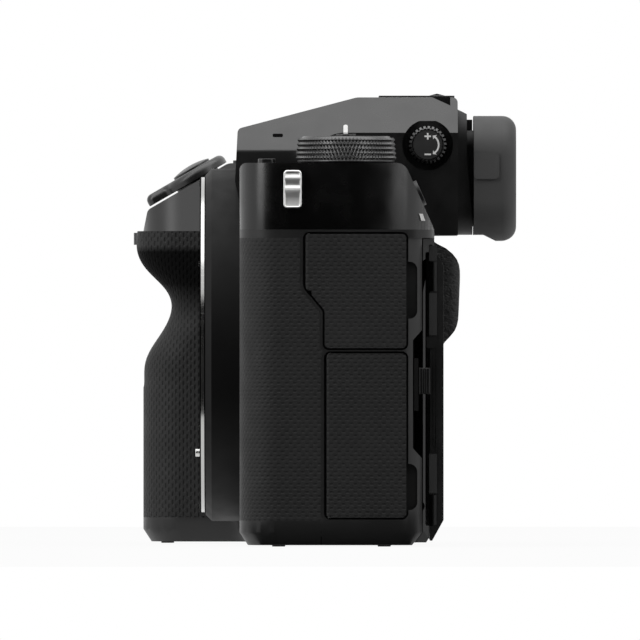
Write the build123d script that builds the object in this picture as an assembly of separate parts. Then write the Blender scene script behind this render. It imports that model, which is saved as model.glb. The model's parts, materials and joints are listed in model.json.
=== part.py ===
from build123d import *
import math
import os

# Medium format digital camera without a lens, in millimetres.
# The origin is the tripod socket's axis at the plane the camera stands on.
# The lens side faces -Y, the back +Y, the port side +X and the handgrip -X.

# Fits shared by all pieces
running_clearance = 0.05
slide_gap = 0.15
seat_gap = 0.1
door_gap = 0.45
cut_over = 3.0

# Body block
grip_side_x = -83.2
port_side_x = 63.2
body_front_y = -14.2
split_y = 4.6
port_rear_y = 28.2
right_rear_y = 30.5
strip_rear_y = 30.2
body_base_z = 0.4
chamfer_top_z = 3.3
band_top_z = 6.0
strip_base_z = 70.4
cover_line_z = 72.3
bottom_chamfer = 1.9
front_corner_radius = 9.0
rear_corner_radius = 7.0
back_corner_radius = 10.0
casing_wall = 2.0
skin_thickness = 0.9
cavity_left_x = -48.0
cavity_right_x = 50.0
cavity_base_z = 3.6

# Lens mount
lens_axis_z = 46.0
barrel_radius = 40.5
barrel_front_y = -22.1
barrel_chamfer = 1.4
throat_radius = 36.3
flange_radius = 38.5
flange_front_y = -23.4
flange_thickness = 1.8
flange_bore_radius = 34.5
skirt_bore_radius = 35.4
claw_bore_radius = 32.5
skirt_radius = 36.1
skirt_depth = 2.0
claw_count = 3
claw_angle = 52.0
gate_half_width = 24.0
gate_half_height = 19.0
baffle_thickness = 2.0
baffle_step = 1.6
contact_outer_radius = 33.5
contact_inner_radius = 29.5
contact_height = 4.2
contact_half_angle = 34.0
pin_radius = 0.95
pin_circle_radius = 35.7
pin_angle = 224.2
pin_reach = 1.2
pin_travel = 1.5
pin_length = 6.6

# Handgrip
grip_reach = 24.2
grip_inner_x = -50.5
grip_root_x = -47.6
grip_base_reach = 22.6
grip_outer_radius = 12.0
grip_inner_radius = 10.0
grip_root_radius = 3.0
grip_overlap = 4.0
rubber_thickness = 1.6
grip_height_shares = [0.498, 0.563, 0.614, 0.664, 0.715, 0.766, 0.817, 0.869, 0.918, 0.954, 1.0]
grip_reach_shares = [0.934, 0.924, 0.876, 0.781, 0.694, 0.665, 0.733, 0.884, 0.979, 1.0, 0.992]

# Top cover
shoulder_rise = 15.2
shoulder_top_z = cover_line_z + shoulder_rise
deck_rise = 15.7
deck_top_z = cover_line_z + deck_rise
deck_lip_z = 77.2
deck_lip_y = -35.8
deck_break_y = -17.1
cover_crest_y = 23.4
cover_wall = 2.0
cover_edge_radius = 1.6
cover_crest_radius = 3.0

# Viewfinder hump
hump_half_width = 31.0
finder_half_width = 26.5
hump_flat_half_width = 17.5
hump_wall_top_z = 90.5
hump_rise = 30.45
hump_top_z = cover_line_z + hump_rise
hump_drape_z = 78.8
hump_nose_z = 83.4
hump_nose_y = -15.3
hump_brow_z = 95.5
hump_brow_y = -14.7
hump_crest_y = 12.6
hump_rear_y = 35.7
hump_base_z = 71.1
hump_overhang_y = 30.5
hump_narrow_front_y = -1.0
hump_narrow_rear_y = 8.0
hump_edge_radius = 1.2
hump_wall = 2.2

# Finder tube, eyepiece and eyecup
finder_axis_z = 84.2
tube_half_width = 15.0
tube_half_height = 9.8
tube_wall = 2.0
tube_front_y = 4.0
frame_rear_y = 39.1
frame_neck_y = 37.8
frame_half_width = 22.0
frame_top_z = 100.0
frame_brow_drop = 1.1
neck_rib_half_width = 8.0
neck_rib_top_z = 97.7
frame_base_z = 71.3
frame_corner_radius = 7.0
eyepiece_half_width = 13.0
eyepiece_half_height = 9.0
eyepiece_thickness = 4.5
display_thickness = 2.0
eyecup_front_y = 39.4
eyecup_rear_y = 49.1
eyecup_half_width = 24.0
eyecup_top_z = 98.5
eyecup_base_z = 69.9
eyecup_corner_radius = 9.0
eyecup_edge_radius = 3.2
eyecup_lip_y = 41.8
eyecup_lip_z = 71.3
eyecup_bulge_y = 44.6
eyecup_tab_rear_y = 45.2
eyecup_tab_base_z = 84.0
eyecup_tab_top_z = 90.2
eyecup_tab_rise = 0.5
eyecup_tab_radius = 0.9
eyecup_well_half_width = 18.5
eyecup_well_half_height = 10.4
eyecup_throat_half_width = 13.4
eyecup_throat_half_height = 9.2
eyecup_throat_radius = 4.0

# Diopter dial on the finder's port side
diopter_y = 28.8
diopter_z = 91.8
diopter_radius = 4.3
diopter_inner_x = 23.6
diopter_outer_x = 28.5
diopter_pocket_radius = 5.8
diopter_stem_radius = 1.5
diopter_notches = 26
diopter_notch_depth = 0.35

# Hot shoe and its cover
shoe_front_y = 17.6
shoe_rear_y = 35.0
shoe_half_width = 11.0
shoe_top_z = 103.2
shoe_slot_half_width = 9.35
shoe_gap_half_width = 6.3
shoe_rail_thickness = 1.2
shoe_slot_height = 2.0
shoe_floor_thickness = 1.0
shoe_stop_length = 1.6
shoe_ridge_z = 103.7
shoe_ridge_y = 31.0
shoe_ridge_length = 4.0
shoe_cover_rear_y = 34.8
ramp_front_y = 29.9
ramp_rear_y = 34.0
ramp_drop = 1.9
ramp_half_width = 20.5

# Mode dial and its lock
mode_x = 46.0
mode_y = 10.1
mode_base_radius = 11.5
mode_top_radius = 10.3
mode_base_z = shoulder_top_z + slide_gap
mode_rim_rise = 4.1
mode_rim_z = mode_base_z + mode_rim_rise
mode_crown_rise = 1.9
mode_top_z = mode_rim_z + mode_crown_rise
mode_stem_radius = 4.0
mode_flutes = 40
mode_flute_depth = 0.3
lock_radius = 2.3
lock_rise = 0.5
lock_depth = 4.0

# Still and movie lever
still_x = 46.0
still_y = -5.4
still_radius = 6.0
still_thickness = 1.4
still_fin_front_y = -10.0
still_fin_rear_y = -6.0
still_fin_half_width = 4.0
still_fin_z = shoulder_top_z + 1.0
still_stem_radius = 1.6

# Command dials
front_dial_x = -69.0
front_dial_y = -31.1
front_dial_radius = 8.0
front_dial_base_z = 69.15
front_dial_top_z = 71.95
rear_dial_x = -68.0
rear_dial_y = 19.5
rear_dial_radius = 9.0
rear_dial_base_z = 80.0
rear_dial_top_z = 84.0
dial_post_radius = 1.5
dial_boss_radius = 3.2
dial_teeth = 36
dial_tooth_depth = 0.35
dial_pocket_gap = 0.4

# Shutter release and power lever on the slanted deck
release_x = -67.0
release_y = -24.1
ring_radius = 7.9
ring_rise = 0.5
ring_thickness = 2.4
ring_edge_radius = 1.5
ring_stem_radius = 5.4
ring_stem_depth = 2.6
lever_reach = 12.7
lever_half_width = 3.2
lever_corner_radius = 1.8
button_radius = 4.65
button_rise = 1.2
button_dome = 0.7
button_travel = 1.5

# Small buttons, radius and rise
small_button_radius = 2.4
small_button_rise = 0.7
small_button_depth = 2.2
exposure_x = -56.0
exposure_y = -13.6
front_function_x = -45.0
front_function_z = 63.0
lens_button_x = -43.5
lens_button_z = 25.7
lens_button_radius = 4.5
lens_button_rise = 3.2
lens_button_depth = 5.0
rear_button_radius = 3.0
rear_button_rise = 0.8
playback_x = 40.0
delete_x = 53.0
slant_button_z = 80.5
af_on_x = -47.0
af_on_z = 63.0
quick_x = -49.0
quick_z = 50.0
focus_lever_x = -33.5
focus_lever_z = 62.0
focus_lever_radius = 3.4
focus_lever_arm = 6.2
stick_x = -36.0
stick_z = 47.5
stick_radius = 3.4
stick_stem_radius = 1.6
stick_ball_radius = 2.1
stick_pocket_radius = 4.6
menu_x = -36.0
menu_z = 31.5
menu_ring_radius = 8.6
menu_ring_inner = 3.8
menu_rise = 1.0
back_x = -36.0
back_z = 16.0
rear_pocket_depth = 2.4

# Thumb rest on the back of the grip side
thumb_left_x = -81.0
thumb_right_x = -55.0
thumb_top_z = 69.9
thumb_height = 24.2
thumb_reach = 6.1
thumb_height_shares = [0.022, 0.065, 0.117, 0.171, 0.223, 0.277, 0.331, 0.38, 0.591, 0.698, 0.752,
                       0.806, 0.855, 0.909, 0.959, 1.0]
thumb_reach_shares = [0.125, 0.461, 0.713, 0.879, 0.962, 0.995, 1.0, 0.995, 0.962, 0.943, 0.928,
                      0.879, 0.797, 0.626, 0.438, 0.313]
thumb_edge_radius = 2.5

# Doors on the port side
door_thickness = 2.2
door_top_z = 71.3
door_rear_y = 23.8
upper_door_front_y = 0.7
upper_door_base_z = 45.3
upper_door_step_y = 5.2
upper_door_step_z = 53.9
upper_door_slant_z = 59.2
lower_door_front_y = 5.5
lower_door_top_z = 44.1
lower_door_base_z = 6.7
door_corner_radius = 1.0
door_slant_radius = 2.0
door_rim = 0.75
door_ledge = 1.3
port_pocket_x = 53.0
hinge_pin_radius = 0.5
hinge_pin_inset = 3.0
door_hinge_radius = 0.75
door_pin_radius = 0.35
door_swing_relief = 1.2
port_panel_thickness = 1.4
socket_reach = 3.0
notch_rear_y = 26.3
notch_depth = 2.6
notch_corner_radius = 1.8
upper_notch_base_z = 52.0
upper_notch_top_z = 65.0
lower_notch_base_z = 8.4
lower_notch_top_z = 18.9

# Notch for the monitor release at the rear port edge
slider_notch_y = 25.3
slider_notch_base_z = 22.5
slider_notch_top_z = 47.1
slider_notch_slant = 3.6
slider_front_y = 26.7
slider_rear_y = 29.2
slider_base_z = 34.8
slider_top_z = 40.8
slider_outer_x = 61.8
slider_ribs = 7
slider_rib_depth = 0.35

# Base plate, tripod socket and feet
plate_left_x = -46.0
plate_right_x = 56.0
plate_front_y = -8.5
plate_rear_y = 22.5
plate_top_z = 2.0
plate_corner_radius = 4.0
socket_bore_radius = 3.175
socket_bore_depth = 6.0
socket_radius = 4.05
socket_body_radius = 5.6
socket_cap = 1.5
foot_radius = 1.5
foot_x = 48.0
foot_front_y = -5.3
foot_rear_y = 18.8
grip_foot_y = -31.2
grip_foot_x = -66.0

# Battery, its chamber, door and latch
battery_left_x = -78.6
battery_width = 22.8
battery_front_y = -21.6
battery_depth = 38.0
battery_base_z = 3.0
battery_height = 52.3
battery_gap = 0.3
battery_edge_radius = 2.0
battery_door_margin = 2.0
battery_door_thickness = 1.9
battery_hinge_radius = 0.95
latch_length = 9.0
latch_width = 7.0
latch_thickness = 1.2
latch_travel = 3.0

# Card slots behind their door on the grip side
card_front_y = 17.6
card_rear_y = 25.6
card_base_z = 20.0
card_top_z = 50.0
card_inner_x = -50.0
card_slot_width = 2.6
card_slot_height = 25.0
card_slot_depth = 22.0
card_door_front_y = 8.0
card_door_rear_y = 26.5
card_door_thickness = 1.6
card_door_reach = 12.0
card_door_margin = 4.0

# Works behind the lens mount
chassis_thickness = 4.0
chassis_margin = 1.0
chassis_base_z = 10.0
chassis_top_z = 71.0
shutter_thickness = 6.0
shutter_half_width = 34.0
shutter_half_height = 24.0
carriage_thickness = 8.5
carriage_half_width = 31.0
carriage_half_height = 23.0
sensor_half_width = 24.5
sensor_half_height = 19.0
sensor_y = 3.3
sensor_thickness = 2.0
board_y = 13.0
board_thickness = 1.6
board_margin = 6.0
boss_radius = 2.4

# Monitor and its three-way linkage
recess_left_x = -20.5
recess_right_x = 59.5
recess_floor_y = 23.6
recess_chamfer = 2.6
recess_toe_depth = 0.8
recess_toe_z = 3.4
monitor_left_x = -15.5
monitor_right_x = 58.0
monitor_base_z = 1.4
monitor_top_z = 68.9
monitor_front_y = 29.2
monitor_back_y = 32.3
monitor_chamfer_z = 4.7
monitor_chamfer_y = 2.6
monitor_inset_y = 28.4
monitor_inset_margin = 3.4
glass_thickness = 0.7
glass_margin = 2.0
swing_axis_x = -17.5
swing_axis_y = 26.0
swing_barrel_radius = 1.6
swing_pin_radius = 0.8
swing_front_y = 24.0
swing_thickness = 1.6
swing_base_z = 7.2
swing_top_z = 61.8
swing_lug_height = 3.0
swing_right_x = 56.0
swing_window_margin = 9.0
arm_front_y = 26.0
arm_thickness = 1.6
arm_left_x = -11.0
arm_right_x = 47.0
arm_bar_width = 8.0
arm_axis_y = 26.9
arm_axis_z = 9.2
arm_barrel_radius = 1.15
arm_pin_radius = 0.6
arm_ear_width = 2.0
arm_pin_length = 3.0
arm_top_z = 62.0
tilt_axis_y = 28.9
tilt_axis_z = 64.4
tilt_barrel_radius = 1.4
tilt_pin_radius = 0.7
tilt_pocket_gap = 0.5
tilt_pocket_top_z = 67.8
tilt_pocket_base_z = 61.6
slider_tab_left_x = 49.0
slider_tab_thickness = 1.0
slider_tab_base_z = 31.0
slider_tab_top_z = 43.0

# Strap lugs
lug_y = -2.1
lug_width = 4.1
lug_base_z = 77.2
lug_top_z = 85.8
lug_reach = 1.8
lug_bar = 1.1
lug_pocket_depth = 2.6
lug_pocket_margin = 0.3
lug_foot = 1.7

# Information window on the deck
window_left_x = -79.0
window_right_x = -41.5
window_front_y = -9.8
window_rear_y = 12.5
window_depth = 0.8
window_rise = 0.2
window_corner_radius = 2.0


def block(x0, x1, y0, y1, z0, z1):
    """Box between two corners."""
    return Pos((x0 + x1) / 2, (y0 + y1) / 2, (z0 + z1) / 2) * Box(x1 - x0, y1 - y0, z1 - z0)


def rod_x(y, z, x0, x1, r):
    return Pos((x0 + x1) / 2, y, z) * Rot(0, 90, 0) * Cylinder(r, x1 - x0)


def rod_y(x, z, y0, y1, r):
    return Pos(x, (y0 + y1) / 2, z) * Rot(90, 0, 0) * Cylinder(r, y1 - y0)


def rod_z(x, y, z0, z1, r):
    return Pos(x, y, (z0 + z1) / 2) * Cylinder(r, z1 - z0)


def outline(points, radii=0, inset=0):
    """Closed face through points, its corners rounded, drawn in by inset."""
    if radii:
        face = make_face(FilletPolyline(*points, radius=radii, close=True))
    else:
        face = make_face(Polyline(*points, close=True))
    return offset(face, -inset, kind=Kind.INTERSECTION) if inset else face


def rounded_box(x0, x1, y0, y1, r):
    """Rectangle between two corners with rounded corners."""
    return Pos((x0 + x1) / 2, (y0 + y1) / 2) * RectangleRounded(x1 - x0, y1 - y0, r)


def along_x(face, x0, x1):
    return extrude(Plane.YZ.offset(x0) * face, amount=x1 - x0, dir=(1, 0, 0))


def along_y(face, y0, y1):
    return extrude(Plane.XZ.offset(-y0) * face, amount=y1 - y0, dir=(0, 1, 0))


def along_z(face, z0, z1):
    return extrude(Pos(0, 0, z0) * face, amount=z1 - z0, dir=(0, 0, 1))


def toothed_disc(r, height, teeth, depth):
    """Disc whose rim has rounded grooves cut in it, standing on its plane."""
    disc = Pos(0, 0, height / 2) * Cylinder(r, height)
    pitch = math.pi * r / teeth
    cutter = Cylinder(pitch / 2, height + cut_over)
    reach = r + pitch / 2 - depth
    cuts = [Rot(0, 0, 360 * i / teeth) * Pos(reach, 0, height / 2) * cutter for i in range(teeth)]
    return disc - cuts


# Body form

def body_plan(rear_y, block_y):
    """Plan of the body block without the handgrip."""
    points = [(grip_side_x, body_front_y), (port_side_x, body_front_y), (port_side_x, rear_y),
              (recess_left_x, rear_y), (recess_left_x, block_y), (grip_side_x, block_y)]
    return outline(points, [0, front_corner_radius, rear_corner_radius, 0, 0, back_corner_radius])


def grip_section(z, reach_share, inset):
    """Plan of the handgrip at one height, drawn in by inset."""
    front_y = body_front_y - reach_share * grip_reach + inset
    back_y = body_front_y + grip_overlap
    points = [(grip_side_x + inset, back_y), (grip_side_x + inset, front_y),
              (grip_inner_x - inset, front_y), (grip_root_x - inset, back_y)]
    radii = [0, grip_outer_radius - inset, grip_inner_radius - inset, 0]
    return Pos(0, 0, z) * outline(points, radii)


def grip_form(inset=0):
    """Handgrip: upright foot, then a front that draws in for the finger and swells again."""
    sections = []
    for height_share, reach_share in zip(grip_height_shares, grip_reach_shares):
        sections.append(grip_section(height_share * cover_line_z, reach_share, inset))
    foot_rise = grip_height_shares[0] * cover_line_z - band_top_z
    foot = extrude(grip_section(band_top_z, grip_reach_shares[0], inset), amount=foot_rise, dir=(0, 0, 1))
    return foot + loft(sections)


def base_plan(inset):
    """Plan of the bottom band, block and handgrip in one."""
    front_y = body_front_y - grip_base_reach
    points = [(grip_side_x, front_y), (grip_inner_x, front_y), (grip_root_x, body_front_y),
              (port_side_x, body_front_y), (port_side_x, port_rear_y),
              (recess_left_x, port_rear_y), (recess_left_x, right_rear_y),
              (grip_side_x, right_rear_y)]
    radii = [grip_outer_radius, grip_inner_radius, grip_root_radius, front_corner_radius,
             rear_corner_radius, 0, 0, back_corner_radius]
    return outline(points, radii, inset)


def body_form():
    """Whole outer form below the top cover."""
    toe = loft([Pos(0, 0, body_base_z) * base_plan(bottom_chamfer),
                Pos(0, 0, chamfer_top_z) * base_plan(0)], ruled=True)
    band = along_z(base_plan(0), chamfer_top_z, band_top_z)
    trunk = along_z(body_plan(port_rear_y, right_rear_y), band_top_z, strip_base_z)
    strip = along_z(body_plan(strip_rear_y, right_rear_y), strip_base_z, cover_line_z)
    return toe + band + trunk + strip


def door_face(points, grow=0):
    """Outline of a port door, its slanted corners rounder than the others."""
    radii = [door_corner_radius] * 4 + [door_slant_radius] * (len(points) - 4)
    return outline(points, radii, -grow)


upper_door_points = [(upper_door_front_y, door_top_z), (door_rear_y, door_top_z),
                     (door_rear_y, upper_door_base_z), (upper_door_step_y, upper_door_base_z),
                     (upper_door_step_y, upper_door_step_z), (upper_door_front_y, upper_door_slant_z)]
lower_door_points = [(lower_door_front_y, lower_door_top_z), (door_rear_y, lower_door_top_z),
                     (door_rear_y, lower_door_base_z), (lower_door_front_y, lower_door_base_z)]
all_doors = [upper_door_points, lower_door_points]
upper_hinge_base_z = upper_door_slant_z - door_hinge_radius
door_floor_x = port_side_x - door_thickness - seat_gap


def skin_shell():
    """Grained covering on the front beside the mount and on the port side."""
    plan = body_plan(port_rear_y, right_rear_y)
    inner = offset(plan, -skin_thickness, kind=Kind.INTERSECTION)
    shell = along_z(plan - inner, band_top_z, strip_base_z)
    zone = block(cavity_left_x + casing_wall, port_side_x + cut_over, body_front_y - cut_over,
                 door_rear_y, band_top_z, cover_line_z)
    mount_ring = rod_y(0, lens_axis_z, body_front_y - cut_over, body_front_y + cut_over,
                       barrel_radius + skin_thickness)
    skin = (shell & zone) - mount_ring
    for points in all_doors:
        skin -= along_x(door_face(points, door_gap + door_rim), door_floor_x, port_side_x + cut_over)
    skin -= rod_y(front_function_x, front_function_z, body_front_y - cut_over,
                  body_front_y + cut_over, small_button_radius + door_rim)
    skin -= rod_y(lens_button_x, lens_button_z, body_front_y - cut_over, body_front_y + cut_over,
                  lens_button_radius + door_rim)
    return skin


def finger_notches():
    """Hollows behind the doors' free edges where a nail lifts them."""
    notches = []
    for base_z, top_z in [(upper_notch_base_z, upper_notch_top_z),
                          (lower_notch_base_z, lower_notch_top_z)]:
        hollow = outline([(door_rear_y, base_z), (notch_rear_y, base_z), (notch_rear_y, top_z),
                          (door_rear_y, top_z)], [0, notch_corner_radius, notch_corner_radius, 0])
        notches.append(along_x(hollow, port_side_x - notch_depth, port_side_x + cut_over))
    return notches


def slider_notch():
    """Cut through the rear port edge round the monitor's release."""
    rear_y = port_rear_y + cut_over
    slant = slider_notch_slant + (rear_y - port_rear_y)
    points = [(slider_notch_y, slider_notch_base_z), (slider_notch_y, slider_notch_top_z),
              (rear_y, slider_notch_top_z + slant), (rear_y, slider_notch_base_z - slant)]
    return along_x(outline(points), recess_right_x - cut_over, port_side_x + cut_over)


def casing_cuts():
    """Everything that is hollow in the two casing halves."""
    cuts = [block(cavity_left_x, cavity_right_x, body_front_y + casing_wall,
                  recess_floor_y - casing_wall, cavity_base_z, cover_line_z + cut_over)]
    cuts.append(rod_y(0, lens_axis_z, barrel_front_y - cut_over, body_front_y, throat_radius))
    cuts.append(rod_y(0, lens_axis_z, barrel_front_y - cut_over,
                      flange_front_y + flange_thickness, flange_radius + running_clearance))
    gate_x = gate_half_width + casing_wall
    gate_z = gate_half_height + casing_wall
    cuts.append(block(-gate_x, gate_x, body_front_y - cut_over, body_front_y + casing_wall + cut_over,
                      lens_axis_z - gate_z, lens_axis_z + gate_z))
    pin_x, pin_z = lock_pin_place()
    cuts.append(rod_y(pin_x, pin_z, barrel_front_y - cut_over, body_front_y,
                      pin_radius + running_clearance))
    cuts.append(rod_y(lens_button_x, lens_button_z, body_front_y - cut_over,
                      body_front_y + lens_button_depth, lens_button_radius + running_clearance))
    cuts.append(rod_y(front_function_x, front_function_z, body_front_y - cut_over,
                      body_front_y + small_button_depth + seat_gap,
                      small_button_radius + running_clearance))
    cuts.append(monitor_recess())
    cuts.append(slider_notch())
    for points in all_doors:
        cuts.append(along_x(door_face(points, door_gap), door_floor_x, port_side_x + cut_over))
        cuts.append(along_x(door_face(points, -door_ledge), port_pocket_x, port_side_x + cut_over))
    cuts += finger_notches()
    cuts.append(battery_space(battery_gap))
    cuts.append(battery_door_space())
    cuts.append(block(grip_side_x - cut_over, card_inner_x, card_front_y, card_rear_y,
                      card_base_z, card_top_z))
    cuts.append(card_door_form(slide_gap))
    cuts.append(along_z(plate_face(running_clearance), -cut_over, plate_top_z))
    cuts.append(rod_z(0, 0, -cut_over, cavity_base_z + cut_over, socket_body_radius))
    cuts.append(front_dial_pocket())
    cuts += rear_pockets()
    return cuts


def monitor_recess():
    """Recess in the back that holds the monitor, open at the bottom."""
    bottom_z = body_base_z - cut_over
    space = block(recess_left_x, recess_right_x, recess_floor_y, strip_rear_y + cut_over,
                  bottom_z, strip_base_z)
    corner = outline([(recess_left_x, right_rear_y - recess_chamfer),
                      (recess_left_x - recess_chamfer, right_rear_y),
                      (recess_left_x - recess_chamfer, right_rear_y + cut_over),
                      (recess_left_x + cut_over, right_rear_y + cut_over),
                      (recess_left_x + cut_over, right_rear_y - recess_chamfer)])
    toe = block(recess_left_x, recess_right_x, recess_floor_y - recess_toe_depth,
                recess_floor_y + cut_over, bottom_z, recess_toe_z)
    return space + toe + along_z(corner, bottom_z, strip_base_z)


def front_dial_pocket():
    """Slot in the top of the handgrip for the front dial, round its post."""
    base_z = front_dial_base_z - seat_gap
    space = rod_z(front_dial_x, front_dial_y, base_z, cover_line_z + cut_over,
                  front_dial_radius + dial_pocket_gap)
    return space - rod_z(front_dial_x, front_dial_y, base_z, cover_line_z, dial_post_radius)


def rear_pockets():
    """Blind holes under the controls of the rear block."""
    pockets = []
    for x, z, r in [(af_on_x, af_on_z, rear_button_radius), (quick_x, quick_z, small_button_radius),
                    (back_x, back_z, rear_button_radius), (menu_x, menu_z, menu_ring_radius),
                    (stick_x, stick_z, stick_pocket_radius),
                    (focus_lever_x, focus_lever_z, focus_lever_radius)]:
        pockets.append(rod_y(x, z, right_rear_y - rear_pocket_depth, right_rear_y + cut_over,
                             r + running_clearance))
    return pockets


def casing_halves(skin):
    """Front and rear casing, split in one plane behind the mount."""
    form = body_form() + grip_form()
    form += rod_y(0, lens_axis_z, barrel_front_y + barrel_chamfer, body_front_y, barrel_radius)
    form += Pos(0, barrel_front_y + barrel_chamfer / 2, lens_axis_z) * Rot(90, 0, 0) * Cone(
        barrel_radius, barrel_radius - barrel_chamfer, barrel_chamfer)
    for cut in casing_cuts():
        form -= cut
    form -= skin
    far = port_side_x * 2
    front_slab = block(-far, far, -far, split_y, -far, far)
    front = (form & front_slab) - grip_rubber_zone()
    rear = form - front_slab
    boss_z = [cavity_base_z + board_margin * 2, cover_line_z - board_margin * 2]
    for x in [cavity_left_x + board_margin * 2, cavity_right_x - board_margin * 2]:
        for z in boss_z:
            rear += rod_y(x, z, board_y + board_thickness, recess_floor_y - casing_wall, boss_radius)
    for z0, z1 in swing_lugs():
        rear += swing_lug(z0, z1)
    return front, rear


def grip_rubber_zone():
    """Space taken out of the handgrip's core for its rubber."""
    slab = block(grip_side_x - cut_over, grip_root_x + cut_over, body_front_y - grip_reach - cut_over,
                 body_front_y, band_top_z, cover_line_z)
    rubber = (grip_form() & slab) - grip_form(rubber_thickness)
    return rubber - front_dial_pocket()


# Lens mount and the works behind it

def lock_pin_place():
    angle = math.radians(pin_angle)
    return (pin_circle_radius * math.cos(angle), lens_axis_z + pin_circle_radius * math.sin(angle))


def sector(r, angle, half_angle, y0, y1):
    """Pie slice about the lens axis, for claws and contacts."""
    points = [(0, 0)]
    for turn in (-half_angle, -half_angle / 2, 0, half_angle / 2, half_angle):
        t = math.radians(angle + turn)
        points.append((2 * r * math.cos(t), 2 * r * math.sin(t)))
    return Pos(0, 0, lens_axis_z) * along_y(outline(points), y0, y1)


def mount_flange():
    """Bayonet ring with three claws behind its bore and the pin's hole."""
    face_y = flange_front_y
    back_y = face_y + flange_thickness
    ring = rod_y(0, lens_axis_z, face_y, back_y, flange_radius)
    ring += rod_y(0, lens_axis_z, back_y, back_y + skirt_depth, skirt_radius)
    ring -= rod_y(0, lens_axis_z, face_y - cut_over, back_y + cut_over, flange_bore_radius)
    ring -= rod_y(0, lens_axis_z, back_y, back_y + cut_over, skirt_bore_radius)
    claws = rod_y(0, lens_axis_z, back_y, back_y + skirt_depth, skirt_radius)
    claws -= rod_y(0, lens_axis_z, face_y, back_y + cut_over, claw_bore_radius)
    slices = [sector(skirt_radius, 90 + 360 * i / claw_count, claw_angle / 2, back_y,
                     back_y + skirt_depth) for i in range(claw_count)]
    for piece in slices:
        ring += claws & piece
    pin_x, pin_z = lock_pin_place()
    return ring - rod_y(pin_x, pin_z, face_y - cut_over, back_y + cut_over,
                        pin_radius + running_clearance)


def throat_baffle():
    """Stepped light trap at the bottom of the throat."""
    front_y = body_front_y - baffle_thickness
    disc = rod_y(0, lens_axis_z, front_y, body_front_y, throat_radius - seat_gap)
    for i in range(3):
        grow = baffle_step * (2 - i)
        y0 = front_y + baffle_thickness * i / 3
        disc -= block(-gate_half_width - grow, gate_half_width + grow, y0, body_front_y + cut_over,
                      lens_axis_z - gate_half_height - grow, lens_axis_z + gate_half_height + grow)
    return disc


def lens_contacts():
    """Contact block at the foot of the throat."""
    back_y = body_front_y - baffle_thickness
    ring = rod_y(0, lens_axis_z, back_y - contact_height, back_y, contact_outer_radius)
    ring -= rod_y(0, lens_axis_z, back_y - contact_height - cut_over, back_y + cut_over,
                  contact_inner_radius)
    return ring & sector(contact_outer_radius, -90, contact_half_angle, back_y - contact_height, back_y)


def lens_lock_pin():
    x, z = lock_pin_place()
    return rod_y(x, z, flange_front_y - pin_reach, flange_front_y - pin_reach + pin_length, pin_radius)


def framed_plate(half_width, half_height, y0, y1, gate_width, gate_height):
    """Plate round the lens axis with a window in it."""
    plate = block(-half_width, half_width, y0, y1, lens_axis_z - half_height, lens_axis_z + half_height)
    return plate - block(-gate_width, gate_width, y0 - cut_over, y1 + cut_over,
                         lens_axis_z - gate_height, lens_axis_z + gate_height)


works_front_y = body_front_y + casing_wall
shutter_front_y = works_front_y + chassis_thickness
carriage_front_y = shutter_front_y + shutter_thickness


def chassis_frame():
    """Metal frame behind the front wall that carries shutter and sensor."""
    frame = block(cavity_left_x + chassis_margin, cavity_right_x - chassis_margin, works_front_y,
                  shutter_front_y, chassis_base_z, chassis_top_z)
    frame -= rod_y(lens_button_x, lens_button_z, works_front_y - cut_over, shutter_front_y + cut_over,
                   lens_button_radius + chassis_margin)
    return frame - block(-gate_half_width, gate_half_width, works_front_y - cut_over,
                         shutter_front_y + cut_over, lens_axis_z - gate_half_height,
                         lens_axis_z + gate_half_height)


def shutter_unit():
    return framed_plate(shutter_half_width, shutter_half_height, shutter_front_y, carriage_front_y,
                        gate_half_width, gate_half_height)


def sensor_carriage():
    """Frame with a closed back that holds the sensor."""
    back_y = carriage_front_y + carriage_thickness
    frame = block(-carriage_half_width, carriage_half_width, carriage_front_y, back_y,
                  lens_axis_z - carriage_half_height, lens_axis_z + carriage_half_height)
    return frame - block(-sensor_half_width, sensor_half_width, carriage_front_y - cut_over,
                         sensor_y + sensor_thickness, lens_axis_z - sensor_half_height,
                         lens_axis_z + sensor_half_height)


def image_sensor():
    return block(-sensor_half_width, sensor_half_width, sensor_y, sensor_y + sensor_thickness,
                 lens_axis_z - sensor_half_height, lens_axis_z + sensor_half_height)


def main_board():
    return block(cavity_left_x + board_margin, cavity_right_x - board_margin, board_y,
                 board_y + board_thickness, cavity_base_z + board_margin, cover_line_z - board_margin)


# Top cover

def cover_profile(front_points, top_z, inset):
    """Side profile of the cover, its underside dropped when drawn in."""
    base_z = cover_line_z - (cut_over if inset else 0)
    points = [(front_points[0][0], base_z)] + front_points
    points += [(cover_crest_y, top_z), (strip_rear_y, cover_line_z)]
    if inset:
        points += [(strip_rear_y, base_z)]
    radii = [0] + [cover_edge_radius] * len(front_points) + [cover_crest_radius, 0]
    radii += [0] if inset else []
    return outline(points, radii, inset)


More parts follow.
